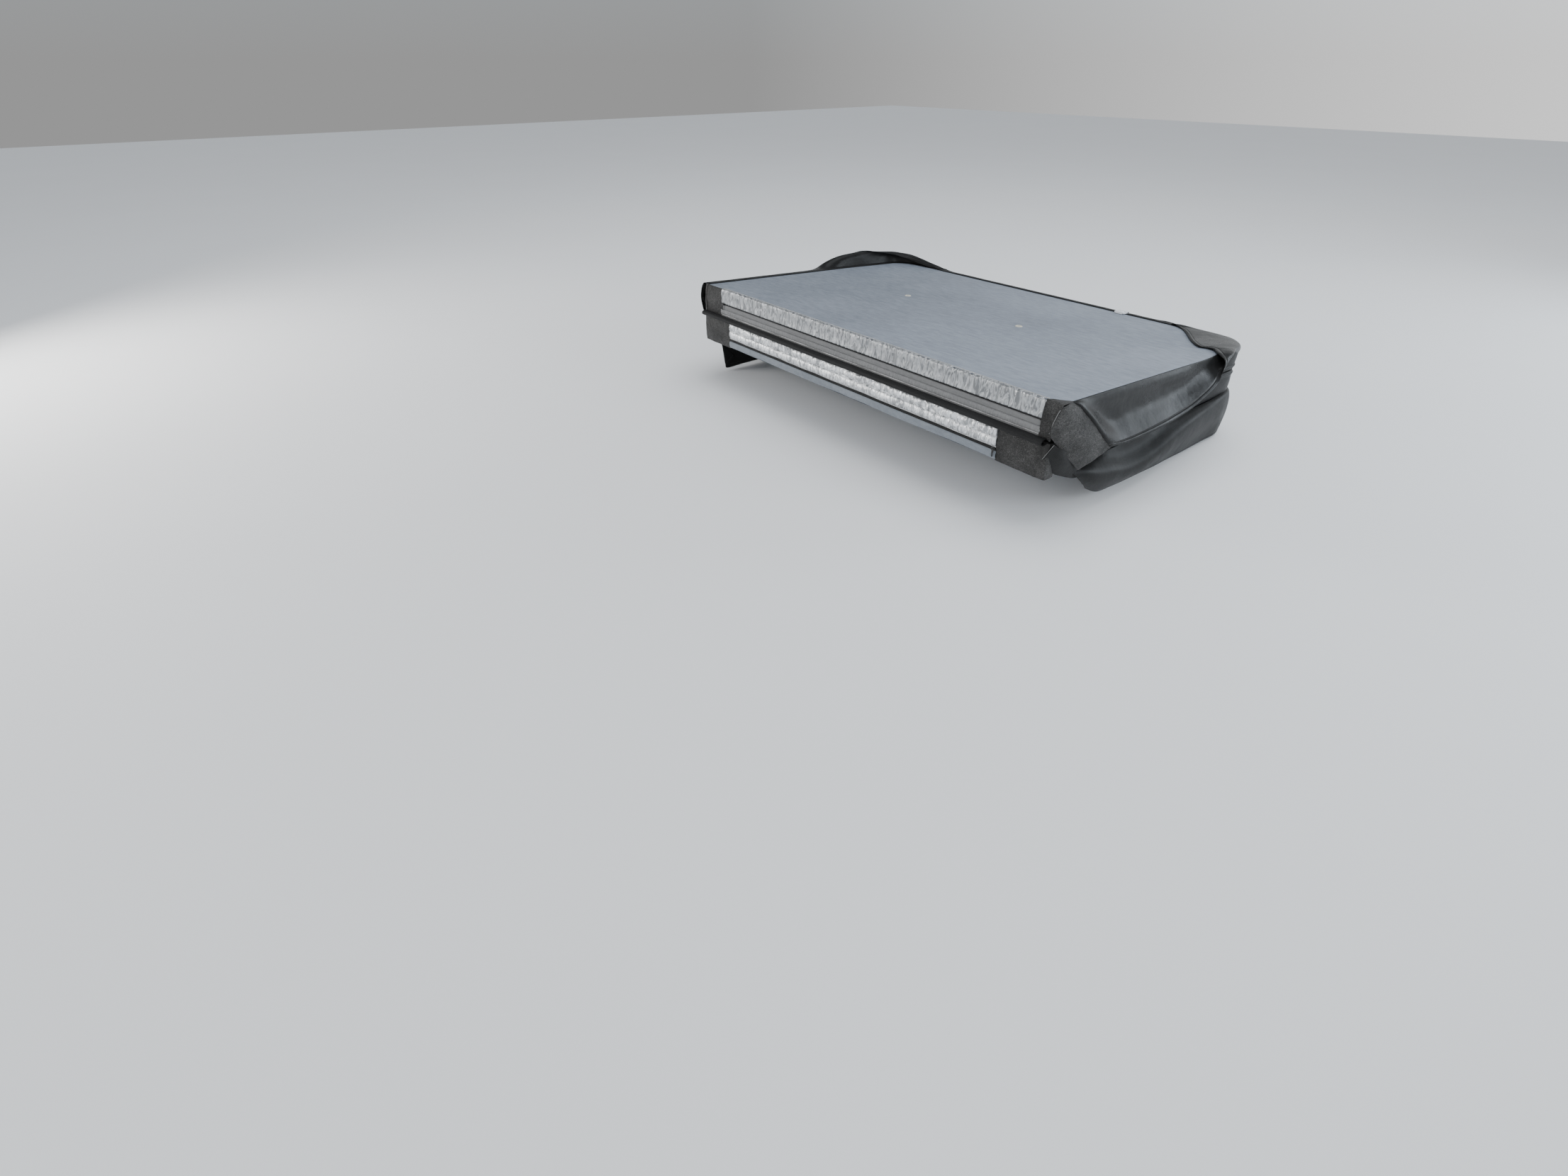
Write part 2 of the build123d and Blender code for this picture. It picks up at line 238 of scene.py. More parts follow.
# ---------------------------------------------------------------- materials
class Nodes:
    """A material's node tree, written line by line."""

    def __init__(self, name):
        self.material = bpy.data.materials.new(name)
        self.material.use_nodes = True
        self.tree = self.material.node_tree
        self.shader = self.tree.nodes["Principled BSDF"]
        self.place = self.add("ShaderNodeTexCoord").outputs["Object"]
        uv = self.add("ShaderNodeUVMap")
        uv.uv_map = "cloth"
        self.cloth = uv.outputs["UV"]

    def add(self, kind, **values):
        node = self.tree.nodes.new(kind)
        for key, value in values.items():
            setattr(node, key, value)
        return node

    def link(self, source, target):
        self.tree.links.new(source, target)

    def put(self, socket, value):
        """A link where value is a socket, and a plain value otherwise."""
        if isinstance(value, bpy.types.NodeSocket):
            self.link(value, socket)
        else:
            socket.default_value = value

    def stretch(self, vector, scale, turn=0.0):
        node = self.add("ShaderNodeMapping")
        self.link(vector, node.inputs["Vector"])
        node.inputs["Scale"].default_value = scale
        node.inputs["Rotation"].default_value = (0, 0, turn)
        return node.outputs["Vector"]

    def noise(self, vector, scale, detail=4.0, rough=0.55, warp=0.0):
        node = self.add("ShaderNodeTexNoise")
        self.link(vector, node.inputs["Vector"])
        node.inputs["Scale"].default_value = scale
        node.inputs["Detail"].default_value = detail
        node.inputs["Roughness"].default_value = rough
        node.inputs["Distortion"].default_value = warp
        return node.outputs["Fac"]

    def cells(self, vector, scale, feature="DISTANCE_TO_EDGE"):
        node = self.add("ShaderNodeTexVoronoi", feature=feature)
        self.link(vector, node.inputs["Vector"])
        node.inputs["Scale"].default_value = scale
        return node.outputs["Distance"]

    def warped(self, scale, reach):
        """Object coordinates pushed about by a noise, so that cells run into each other like real grain."""
        noise = self.add("ShaderNodeTexNoise")
        self.link(self.place, noise.inputs["Vector"])
        noise.inputs["Scale"].default_value = scale
        noise.inputs["Detail"].default_value = 3
        push = self.add("ShaderNodeVectorMath", operation="MULTIPLY_ADD")
        self.link(noise.outputs["Color"], push.inputs[0])
        push.inputs[1].default_value = (reach, reach, reach)
        self.link(self.place, push.inputs[2])
        return push.outputs[0]

    def wave(self, vector, scale, direction="X", warp=0.0, detail=2.0, warp_scale=1.0):
        node = self.add("ShaderNodeTexWave", wave_type="BANDS", bands_direction=direction)
        self.link(vector, node.inputs["Vector"])
        node.inputs["Scale"].default_value = scale
        node.inputs["Distortion"].default_value = warp
        node.inputs["Detail"].default_value = detail
        node.inputs["Detail Scale"].default_value = warp_scale
        return node.outputs["Fac"]

    def maths(self, operation, a, b=0.0, c=0.0, clamp=False):
        node = self.add("ShaderNodeMath", operation=operation, use_clamp=clamp)
        for socket, value in zip(node.inputs, (a, b, c)):
            self.put(socket, value)
        return node.outputs[0]

    def spread(self, value, low, high, to_low=0.0, to_high=1.0):
        """Maps low..high of a value to to_low..to_high, clamped."""
        node = self.add("ShaderNodeMapRange")
        for socket, v in zip(node.inputs, (value, low, high, to_low, to_high)):
            self.put(socket, v)
        return node.outputs[0]

    def blend(self, factor, first, second):
        node = self.add("ShaderNodeMix", data_type="RGBA")
        self.put(node.inputs[0], factor)
        self.put(node.inputs[6], first)
        self.put(node.inputs[7], second)
        return node.outputs[2]

    def split(self, vector):
        node = self.add("ShaderNodeSeparateXYZ")
        self.link(vector, node.inputs[0])
        return node.outputs

    def bump(self, height, depth, after=None):
        """Bump of a height of 0..1 times depth in metres, after another bump."""
        node = self.add("ShaderNodeBump")
        node.inputs["Strength"].default_value = 1.0
        node.inputs["Distance"].default_value = depth
        self.link(height, node.inputs["Height"])
        if after is not None:
            self.link(after, node.inputs["Normal"])
        return node.outputs["Normal"]

    def finish(self, **values):
        for key, value in values.items():
            self.put(self.shader.inputs[key.replace("_", " ")], value)
        return self.material


def grey(value, warm=0.0):
    return (value * (1 + warm), value, value * (1 - warm), 1.0)


def vinyl(name, base, light, grain, depth, rough, stitched=False, shine=0.2):
    """Marine vinyl: fine leather grain, faint mottling and scuffs, and a sewn hem where it is stitched."""
    n = Nodes(name)
    cells = n.cells(n.warped(grain * 0.35, 0.9 / grain), grain)
    warped = n.noise(n.place, grain * 0.55, 5, 0.6)
    leather = n.maths("ADD", n.spread(cells, 0.0, 0.22), n.maths("MULTIPLY", warped, 0.7))
    wear = n.spread(n.noise(n.place, 9, 6, 0.62), 0.42, 0.72)
    bump = n.bump(n.noise(n.place, 22, 3, 0.5), 0.0016)
    bump = n.bump(leather, depth, bump)
    ridges = n.spread(leather, 0.55, 1.35)
    colour = n.blend(n.maths("ADD", n.maths("MULTIPLY", wear, 0.45), n.maths("MULTIPLY", ridges, 0.55)),
                     base, light)
    if stitched:
        across = n.split(n.cloth)
        line = n.maths("COMPARE", across[1], 0.011, 0.0009)
        dash = n.maths("GREATER_THAN", n.maths("FRACT", n.maths("MULTIPLY", across[0], 170.0)), 0.24)
        stitch = n.maths("MULTIPLY", line, dash)
        groove = n.spread(n.maths("ABSOLUTE", n.maths("SUBTRACT", across[1], 0.011)), 0.0, 0.0035)
        bump = n.bump(groove, 0.0012, bump)
        bump = n.bump(stitch, 0.0006, bump)
        colour = n.blend(n.maths("MULTIPLY", stitch, 0.35), colour, grey(0.05))
    return n.finish(Base_Color=colour, Roughness=n.spread(wear, 0, 1, rough, rough + 0.14),
                    Normal=bump, Specular_IOR_Level=shine, IOR=1.34)


def leather(name, base, light, size, depth, rough):
    """Thick grained vinyl: curling crease ridges, about size metres across, on a dark ground, with a painted
    highlight that makes the ridges pale.
    """
    n = Nodes(name)
    curls = n.noise(n.place, 1 / size, 3, 0.5, 1.1)
    small = n.noise(n.place, 2.3 / size, 3, 0.55, 0.8)
    ridge = n.spread(n.maths("ABSOLUTE", n.maths("SUBTRACT", curls, 0.5)), 0.0, 0.055, 1, 0)
    fine = n.spread(n.maths("ABSOLUTE", n.maths("SUBTRACT", small, 0.5)), 0.0, 0.06, 1, 0)
    patchy = n.spread(n.noise(n.place, 16, 4, 0.6), 0.34, 0.66, 0.35, 1)
    ridges_and_highlights = n.maths("MAXIMUM", ridge, n.maths("MULTIPLY", fine, 0.6))
    bump = n.bump(n.noise(n.place, 24, 3, 0.5), 0.0024)
    bump = n.bump(ridges_and_highlights, depth, bump)
    # painted highlight: the crease ridges are painted pale, broken up by the patchy tone
    colour = n.blend(n.maths("MULTIPLY", ridges_and_highlights, patchy), base, light)
    colour = n.blend(n.spread(patchy, 0.35, 1, 0, 0.12), colour, light)
    return n.finish(Base_Color=colour, Normal=bump, Specular_IOR_Level=0.2,
                    Roughness=n.spread(patchy, 0.35, 1, rough, rough + 0.12))


def fabric(name, base, light, rough=0.85, weave=900.0, mottle=60.0, depth=0.0004, sheen=0.1):
    """Woven cloth: crossed threads, mottled colour."""
    n = Nodes(name)
    threads = n.maths("MAXIMUM", n.wave(n.place, weave / 6.3, "X", 0.6),
                      n.wave(n.place, weave / 6.3, "Y", 0.6))
    spots = n.spread(n.noise(n.place, mottle, 7, 0.68), 0.35, 0.68)
    cloudy = n.spread(n.noise(n.place, 4.0, 4, 0.5), 0.3, 0.7)
    colour = n.blend(n.maths("MULTIPLY", n.maths("ADD", spots, cloudy), 0.5), base, light)
    bump = n.bump(spots, depth * 1.6)
    bump = n.bump(threads, depth, bump)
    return n.finish(Base_Color=colour, Roughness=rough, Normal=bump, Sheen_Weight=sheen,
                    Specular_IOR_Level=0.25)


def scrim(name):
    """The underliner: a matte blue-grey sheet with a faint scrim and streaky mottling along the hinge, with
    painted shade on the left and a painted sheen on the right.
    """
    n = Nodes(name)
    streaks = n.noise(n.stretch(n.place, (26, 90, 60)), 1.0, 6, 0.66)
    specks = n.noise(n.place, 420, 3, 0.6)
    cloudy = n.noise(n.place, 2.6, 3, 0.5)
    squares = n.maths("MAXIMUM", n.wave(n.place, 62, "X", 0.4), n.wave(n.place, 62, "Y", 0.4))
    mix = n.maths("ADD", n.spread(streaks, 0.36, 0.64, 0, 0.42), n.spread(specks, 0.3, 0.7, 0, 0.22))
    mix = n.maths("ADD", mix, n.spread(cloudy, 0.3, 0.7, 0, 0.36))
    # painted shade and painted sheen: darker towards the left (-x), lighter towards the right (+x)
    mix = n.maths("ADD", mix, n.spread(n.split(n.place)[0], -0.75, 0.75, -0.16, 0.18))
    colour = n.blend(mix, (0.125, 0.145, 0.176, 1), (0.29, 0.322, 0.375, 1))
    bump = n.bump(n.spread(streaks, 0.3, 0.7), 0.0009)
    bump = n.bump(squares, 0.00018, bump)
    bump = n.bump(specks, 0.00012, bump)
    return n.finish(Base_Color=colour, Roughness=n.spread(specks, 0.3, 0.7, 0.42, 0.58), Normal=bump,
                    Specular_IOR_Level=0.5)


def foil(name, base, light, size=1.0, metal=0.35, lean=0.6):
    """Metallised cloth with crisp slanting wrinkles, painted pale along the crease lines and darker between
    them as painted highlight and shade.
    """
    n = Nodes(name)
    slant = n.stretch(n.place, (1.0, 1.0, 0.30), lean)
    creases = n.noise(slant, 75 / size, 4, 0.55, 1.4)
    small = n.noise(slant, 190 / size, 3, 0.5, 0.8)
    fine = n.noise(n.place, 520, 3, 0.6)
    ridge = n.maths("ABSOLUTE", n.maths("SUBTRACT", creases, 0.5))
    bump = n.bump(n.spread(ridge, 0.0, 0.16), 0.0007)
    bump = n.bump(small, 0.0006, bump)
    bump = n.bump(fine, 0.00008, bump)
    # painted highlight and painted shade: pale along the crease lines, darker between them
    colour = n.blend(n.spread(ridge, 0.0, 0.12), light, base)
    return n.finish(Base_Color=colour, Roughness=n.spread(fine, 0.3, 0.7, 0.30, 0.44), Normal=bump,
                    Metallic=metal)


def plastic(name, base, light, rough, speck=300.0):
    """Moulded plastic or coated metal with a fine matte texture."""
    n = Nodes(name)
    fine = n.noise(n.place, speck, 4, 0.6)
    scuffs = n.spread(n.noise(n.place, 60, 6, 0.7), 0.5, 0.75)
    bump = n.bump(fine, 0.0001)
    return n.finish(Base_Color=n.blend(scuffs, base, light), Normal=bump,
                    Roughness=n.spread(fine, 0.3, 0.7, rough, rough + 0.15))


SMOOTH = vinyl("smooth_vinyl", grey(0.011), grey(0.018), 520, 0.00004, 0.25, stitched=True, shine=0.19)
OUTER = vinyl("outer_vinyl", grey(0.013), grey(0.022), 360, 0.00008, 0.34, stitched=True, shine=0.13)
GRAINED = leather("grained_vinyl", grey(0.014, 0.03), grey(0.140, 0.03), 0.0052, 0.0006, 0.42)
ROLL = vinyl("roll_vinyl", grey(0.018), grey(0.032), 420, 0.00010, 0.42, shine=0.14)
SCRIM = scrim("underliner_scrim")
SILVER = foil("silver_foil", grey(0.21, -0.03), grey(0.50, -0.02), 1.1, 0.7)
PILLOW = foil("pillow_foil", grey(0.42, -0.02), grey(0.97, -0.01), 1.5, 0.8)
# a darker copy of the gathered band's cloth: partly the bands' own darker cloth, partly painted shade under
# the concave zipper flap
DARK_AND_SHADED_BAND = fabric("dark_and_shaded_band", grey(0.15), grey(0.21), 0.55, 1200, 90)
PUCKER = fabric("gathered_band", grey(0.17), grey(0.26), 0.6, 1200, 90)
PALE_EDGE = foil("pale_edge", grey(0.38), grey(0.52), 1.5, 0.2)
LIP = fabric("lip_cloth", (0.17, 0.19, 0.215, 1), (0.26, 0.285, 0.315, 1), 0.6, 1000, 80)
WEB = fabric("black_webbing", grey(0.03), grey(0.05), 0.7, 520, 120, 0.0006)
TAPE = fabric("zipper_tape", grey(0.012), grey(0.022), 0.8, 1400, 120)
COIL = plastic("zipper_coil", grey(0.010), grey(0.02), 0.4)
METAL = plastic("zipper_metal", grey(0.015), grey(0.05), 0.3)
CREAM = plastic("grommet_cream", (0.62, 0.59, 0.47, 1), (0.72, 0.69, 0.58, 1), 0.5)
BLACK_CLIP = plastic("buckle_black", grey(0.016), grey(0.03), 0.38)
WHITE_CLIP = plastic("buckle_white", (0.80, 0.81, 0.82, 1), (0.88, 0.88, 0.88, 1), 0.22)
FOAM = fabric("foam_beads", grey(0.8), grey(0.92), 0.9, 300, 140)
STEEL = plastic("galvanised_steel", grey(0.45), grey(0.6), 0.35)
FILM = plastic("milky_film", (0.7, 0.72, 0.75, 1), (0.8, 0.82, 0.85, 1), 0.25)
RAW = fabric("raw_backing", grey(0.09), grey(0.26), 0.8, 900, 400)
LINER = fabric("hinge_liner", grey(0.12), grey(0.17), 0.8, 900, 80)

HIDDEN_LOOKS = {"foam_core": FOAM, "stiffener_channel": STEEL, "vapor_barrier": FILM, "hinge_webbing": WEB,
                "hinge_liner": LINER, "zipper_tape": TAPE, "zipper_coil": COIL}
for panel in ("lower", "upper"):
    for part, look in HIDDEN_LOOKS.items():
        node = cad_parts[f"{panel}_{part}"]
        node.data.materials.clear()
        node.data.materials.append(look)

# ---------------------------------------------------------------- camera, floor and lights
FOCAL_PX = 1118.6
IMAGE_WIDTH = 2212
AZIMUTH, ELEVATION, ROLL_ANGLE = (math.radians(a) for a in (51.75, 30.27, -0.16))
camera_data = bpy.data.cameras.new("camera")
camera_data.sensor_width = 36
camera_data.lens = FOCAL_PX / IMAGE_WIDTH * 36
camera_data.shift_x = 0.00524
camera_data.shift_y = -0.0427
camera_data.clip_start = 0.05
camera_data.clip_end = 60
camera = bpy.data.objects.new("camera", camera_data)
bpy.context.scene.collection.objects.link(camera)
bpy.context.scene.camera = camera
back = Vector((math.sin(AZIMUTH) * math.cos(ELEVATION), -math.cos(AZIMUTH) * math.cos(ELEVATION),
               math.sin(ELEVATION)))
camera.rotation_mode = "QUATERNION"
unrolled = (-back).to_track_quat("-Z", "Y").to_matrix()
camera.rotation_quaternion = (Matrix.Rotation(ROLL_ANGLE, 3, back) @ unrolled).to_quaternion()
camera.location = (1.656, -2.060, 0.878)

FLOOR_Z = cad_box[0].z - 0.008


def studio():
    """A pale floor, a white surround and soft lights."""
    n = Nodes("floor")
    n.finish(Base_Color=n.blend(n.noise(n.place, 1.5, 3), grey(0.90), grey(0.93)), Roughness=0.7)
    size = 14.0
    floor = mesh_object("floor", [(-size, -size, FLOOR_Z), (size, -size, FLOOR_Z), (size, size, FLOOR_Z),
                                  (-size, size, FLOOR_Z)], [(0, 1, 2, 3)])
    floor.data.materials.append(n.material)
    world = bpy.data.worlds.new("surround")
    bpy.context.scene.world = world
    world.use_nodes = True
    tree = world.node_tree
    shade = tree.nodes["Background"]
    place = tree.nodes.new("ShaderNodeTexCoord")
    height = tree.nodes.new("ShaderNodeSeparateXYZ")
    ramp = tree.nodes.new("ShaderNodeValToRGB")
    tree.links.new(place.outputs["Generated"], height.inputs[0])
    tree.links.new(height.outputs[2], ramp.inputs[0])
    tree.links.new(ramp.outputs[0], shade.inputs["Color"])
    stops = ramp.color_ramp.elements
    stops[0].position, stops[0].color = 0.0, (0.80, 0.80, 0.80, 1)
    stops[1].position, stops[1].color = 1.0, (0.45, 0.49, 0.55, 1)
    for position, level in ((0.06, 0.90), (0.15, 1.30), (0.26, 1.20), (0.42, 0.34)):
        stops.new(position).color = (level * 0.94, level * 0.975, level, 1)
    side = tree.nodes.new("ShaderNodeMapRange")
    tree.links.new(height.outputs[0], side.inputs["Value"])
    for socket, value in zip(side.inputs[1:5], (-0.80, 0.0, 0.42, 1.45)):
        socket.default_value = value
    tree.links.new(side.outputs[0], shade.inputs["Strength"])
    for name, place, size, power, colour in (
            ("top", (0.3, 0.9, 6.0), 6.0, 215, (0.95, 0.975, 1.0)),
            ("sky", (3.4, 0.9, 1.35), 1.3, 30, (0.82, 0.91, 1.0)),
            ("behind", (2.4, 3.1, 0.95), 1.6, 36, (0.80, 0.90, 1.0)),
            ("left", (-2.5, -2.9, 0.95), 1.6, 52, (1.0, 0.99, 0.97)),
            ("front", (1.6, -3.9, 2.5), 2.0, 14, (1.0, 1.0, 1.0))):
        light = bpy.data.lights.new(name, "AREA")
        light.shape = "DISK"
        light.size = size
        light.energy = power
        light.color = colour
        lamp = bpy.data.objects.new(name, light)
        bpy.context.scene.collection.objects.link(lamp)
        lamp.location = place
        lamp.rotation_mode = "QUATERNION"
        lamp.rotation_quaternion = (Vector((0, 0, 0.1)) - Vector(place)).to_track_quat("-Z", "Y")


studio()

# ---------------------------------------------------------------- panels: jackets and underliners
ARC_STEPS = 14
SIDE_STEPS = 70
FAR_STEPS = 90
RIM_FADE = 16  # grid steps over which the relief of a flat part grows from its rim
RIM_STEP = 0.0001


def plan_grid(inset, front=0.0):
    """x and y of a grid over a panel's plan, whose border is the panel's outline moved in by inset."""
    radius = CORNER_R - inset
    straight = np.linspace(front, DEPTH - CORNER_R, SIDE_STEPS)
    turn = np.linspace(0, math.pi / 2, ARC_STEPS)[1:]
    y = np.concatenate([straight, DEPTH - CORNER_R + radius * np.sin(turn)])
    half = np.concatenate([np.full(SIDE_STEPS, HALF_WIDTH - inset),
                           HALF_WIDTH - CORNER_R + radius * np.cos(turn)])
    across = np.linspace(-1, 1, FAR_STEPS)
    return half[:, None] * across, y[:, None] * np.ones(FAR_STEPS)


def border(grid):
    """The border of a grid, from the left hinge corner round the far side to the right hinge corner."""
    return np.concatenate([grid[:-1, 0], grid[-1], grid[:-1, -1][::-1]])


def panel_shell(name, rings, flip, place, drawn=False):
    """A panel skin: rings of (inset, height, swell) from the open rim inwards, then the flat part."""
    walls = []
    for inset, height, swell in rings:
        x, y = (border(g) for g in plan_grid(inset))
        z = height(y)
        p = np.stack([x, y, z], -1)
        soft = ripple(p, 0.07, 5) * swell
        out = np.stack([np.sign(x) * (y < DEPTH - 0.02), (y >= DEPTH - 0.02) * 1.0, x * 0], -1)
        walls.append(p + out * soft[:, None])
    x, y = plan_grid(rings[-1][0])
    flat = np.stack([x, y, rings[-1][1](y)], -1)
    row, col = np.indices(x.shape)
    inside = np.clip(np.minimum(np.minimum(col, FAR_STEPS - 1 - col), len(x) - 1 - row) / RIM_FADE, 0, 1)
    relief = 0.0008 + ripple(flat, 0.11, 9) * 0.0010 + ripple(flat, 0.035, 10) * 0.0003
    outwards = 1 if rings[-1][1](0.0) > 0.03 else -1
    # the step keeps the flat part from being welded to the rim, whose cloth is mapped another way
    flat[..., 2] += outwards * (RIM_STEP + np.maximum(relief, 0) * inside ** 2 * (3 - 2 * inside))
    wall = np.array(walls)
    count = wall.shape[0] * wall.shape[1]
    faces = np.concatenate([grid_faces(*wall.shape[:2], flip=flip),
                            grid_faces(*flat.shape[:2], offset=count, flip=flip)])
    uv = np.concatenate([cloth_uv(wall).reshape(-1, 2), np.stack([x, y], -1).reshape(-1, 2)])
    points = np.concatenate([wall.reshape(-1, 3), flat.reshape(-1, 3)])
    placed = place(points)
    obj = mesh_object(name, draw_in(placed) if drawn else placed, faces, uv)
    return weld(obj)


def jacket_rings():
    """Wall, sewn welt and rounded edge of a jacket."""
    rings = [(0.0005, lambda y: y * 0 + 0.0015, 0.0)]
    for share in np.linspace(0.08, 0.9, 8):
        bulge = -0.0016 * math.sin(share * math.pi)
        rings.append((bulge, lambda y, s=share: 0.0015 + (top_height(y) - 0.012) * s, 0.0010))
    for inset, drop in ((-0.0006, 0.0125), (-0.0026, 0.0115), (-0.0032, 0.0095), (-0.0022, 0.0080),
                        (-0.0004, 0.0070), (-0.0004, 0.0036), (0.0002, 0.0014), (0.0016, 0.0002),
                        (0.0050, -0.0004), (0.0120, -0.0006), (0.0300, 0.0000)):
        rings.append((inset, lambda y, d=drop: top_height(y) - d, 0.0003 if inset < 0.01 else 0.0))
    return rings


def liner_rings(out):
    """Edge of an underliner, which stands out by out to the seam of the skirts."""
    return [(-out, lambda y: y * 0 + 0.0014, 0.0), (-out + 0.002, lambda y: y * 0 - 0.0002, 0.0),
            (-out + 0.007, lambda y: y * 0 - 0.0008, 0.0), (0.004, lambda y: y * 0 - 0.0005, 0.0),
            (0.016, lambda y: y * 0 - 0.0004, 0.0), (0.035, lambda y: y * 0 - 0.0004, 0.0)]


for panel, place, flip in (("lower", lower, True), ("upper", upper, False)):
    body = f"{panel}_panel"
    skin = panel_shell(f"{panel}_jacket_skin", jacket_rings(), not flip, place)
    dress(skin, body, "vinyl", OUTER, f"{panel}_jacket")
    out = SEAM_OUT if panel == "upper" else 0.0006
    liner = panel_shell(f"{panel}_underliner_sheet", liner_rings(out), flip, place, drawn=panel == "upper")
    dress(liner, body, "underliner", SCRIM, f"{panel}_underliner")



def build_binding():
    """Turned edge of the skirts, sewn over the rim of the upper underliner on the left and far sides."""
    rows = []
    for inset, rise in ((0.0150, 0.0006), (0.0140, 0.0026), (0.0060, 0.0036), (-0.0040, 0.0036),
                        (-0.0110, 0.0026), (-0.0128, 0.0006)):
        x, y = (border(g) for g in plan_grid(inset))
        rows.append(np.stack([x, y, x * 0 - rise], -1))
    line = np.array(rows)
    turned = line[:, :np.argmax(line[0, :, 0] > 0.50)]
    p = draw_in(upper(np.swapaxes(turned, 0, 1)))
    p += normals(p) * (ripple(p, 0.05, 61) * 0.0003)[..., None]
    binding = grid_object("upper_edge_binding", p, thickness=0.0010, flip=normals(p)[5, 3, 2] < 0)
    dress(binding, "upper_panel", "vinyl", OUTER)


build_binding()

# ---------------------------------------------------------------- bands across the hinge face
def face_band(name, x_range, section, step, across, place, relief, end_fade=0.0):
    """A band along the hinge: a (y, z) section carried along x, displaced by relief(x, share)."""
    rows = int((x_range[1] - x_range[0]) / step) + 1
    x = np.linspace(*x_range, rows)
    line = spline(section, np.linspace(0, len(section) - 1, across))
    p = np.zeros((rows, across, 3))
    p[..., 0] = x[:, None]
    fade = np.ones(rows)
    if end_fade:
        gap = np.minimum(x - x_range[0], x_range[1] - x) / end_fade
        fade = np.sqrt(np.clip(1 - (1 - np.clip(gap, 0, 1)) ** 2, 0.0, 1))
    p[..., 1] = line[:, 0] * fade[:, None] - 0.0008 * (1 - fade[:, None])
    p[..., 2] = line[:, 1]
    n = np.cross([1.0, 0, 0], np.gradient(line, axis=0) @ np.array([[0, 1.0, 0], [0, 0, 1.0]]))
    n /= np.linalg.norm(n, axis=-1, keepdims=True)
    n *= -np.sign(n[across // 2, 1])
    share = np.linspace(0, 1, across)
    p += n[None] * (relief(p[..., 0], share[None] * np.ones((rows, 1))) * fade[:, None])[..., None]
    world = place(p)
    middle = normals(world)[rows // 2, across // 2]
    return grid_object(name, world, thickness=0.0012, flip=middle[1] > 0)


def gathers(x, size, seed, slant=0.0, share=0.0):
    """Irregular upright folds about size metres apart, from -1 to 1."""
    rng = np.random.default_rng(seed)
    total = np.zeros_like(x)
    for k in range(7):
        length = size * rng.uniform(0.6, 1.9)
        phase = rng.uniform(0, 6.28)
        total += np.sin(2 * math.pi * (x + slant * share) / length + phase + 0.7 * np.sin(x * 23 + k))
    return total / 3.2


def crumple(x, size, seed, slant=0.0, share=0.0):
    """Folds with sharp crests: the same waves as gathers, bent into ridges."""
    return 1 - 2 * np.abs(gathers(x, 2 * size, seed, slant, share))


def silver_relief(x, share):
    low = np.clip((share - 0.62) / 0.38, 0, 1)
    body = np.sin(math.pi * np.clip(share * 0.9 + 0.05, 0, 1)) ** 0.5
    upright = crumple(x, 0.020, 3, 0.022, share) * 0.0015
    return upright * body + gathers(x, 0.010, 4, 0.004, share) * 0.0012 * low


def band_relief(x, share):
    return gathers(x, 0.16, 6) * 0.0005


def pucker_relief(x, share):
    return gathers(x, 0.0075, 7, 0.003, share) * 0.0007 * np.sin(math.pi * share) ** 0.5


def pillow_relief(x, share):
    top = np.clip(1 - np.abs(share - 0.24) / 0.25, 0, 1)
    bottom = np.clip(1 - np.abs(share - 0.73) / 0.24, 0, 1)
    folds = crumple(x, 0.024, 11, 0.030, share) + 0.6 * crumple(x, 0.011, 12, -0.020, share)
    fine = crumple(x, 0.011, 13, 0.006, share)
    return folds * 0.0034 * top ** 0.6 + fine * 0.0020 * bottom ** 0.6


def lip_relief(x, share):
    return gathers(x, 0.30, 14) * 0.0012 * share + gathers(x, 0.09, 15) * 0.0003


def build_upper_face():
    left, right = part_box("upper_silver_strip")[0].x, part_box("upper_silver_strip")[1].x
    silver = face_band("upper_silver_face", (left, right),
                       [(0.0075, -0.0014), (0.0030, -0.0019), (-0.0012, -0.0012), (-0.0040, 0.0025),
                        (-0.0046, 0.012), (-0.0036, 0.026), (-0.0042, 0.038), (-0.0046, 0.0462)],
                       0.0028, 26, upper, silver_relief)
    dress(silver, "upper_panel", "silver", SILVER, "upper_silver_strip")
    piping = face_band("upper_edge_piping", (left, right),
                       [(0.0085, -0.0012), (0.0072, -0.0026), (0.0052, -0.0028), (0.0040, -0.0014)],
                       0.006, 8, upper, lambda x, share: x * 0)
    dress(piping, "upper_panel", "silver", PALE_EDGE)
    dark = face_band("upper_smooth_band", (left, right),
                     [(-0.0016, 0.0515), (-0.0030, 0.0545), (-0.0034, 0.060), (-0.0028, 0.0665)],
                     0.010, 8, upper, band_relief)
    dress(dark, "upper_panel", "pucker", DARK_AND_SHADED_BAND)
    pucker = face_band("upper_gathered_band", (left, right),
                       [(-0.0024, 0.0662), (-0.0052, 0.0685), (-0.0062, 0.0745), (-0.0054, 0.081),
                        (-0.0026, 0.0835)], 0.0018, 10, upper, pucker_relief)
    dress(pucker, "upper_panel", "pucker", PUCKER, "upper_pucker_band")
    seam = face_band("upper_band_seam", (left, right),
                     [(-0.0026, 0.0828), (-0.0046, 0.0838), (-0.0046, 0.0852), (-0.0026, 0.0860)],
                     0.006, 6, upper, band_relief)
    dress(seam, "upper_panel", "pucker", PALE_EDGE)
    under = face_band("upper_lower_band", (left, right),
                      [(-0.0020, 0.0856), (-0.0030, 0.0885), (-0.0030, 0.0925), (-0.0022, 0.0950)],
                      0.010, 6, upper, band_relief)
    dress(under, "upper_panel", "pucker", DARK_AND_SHADED_BAND)


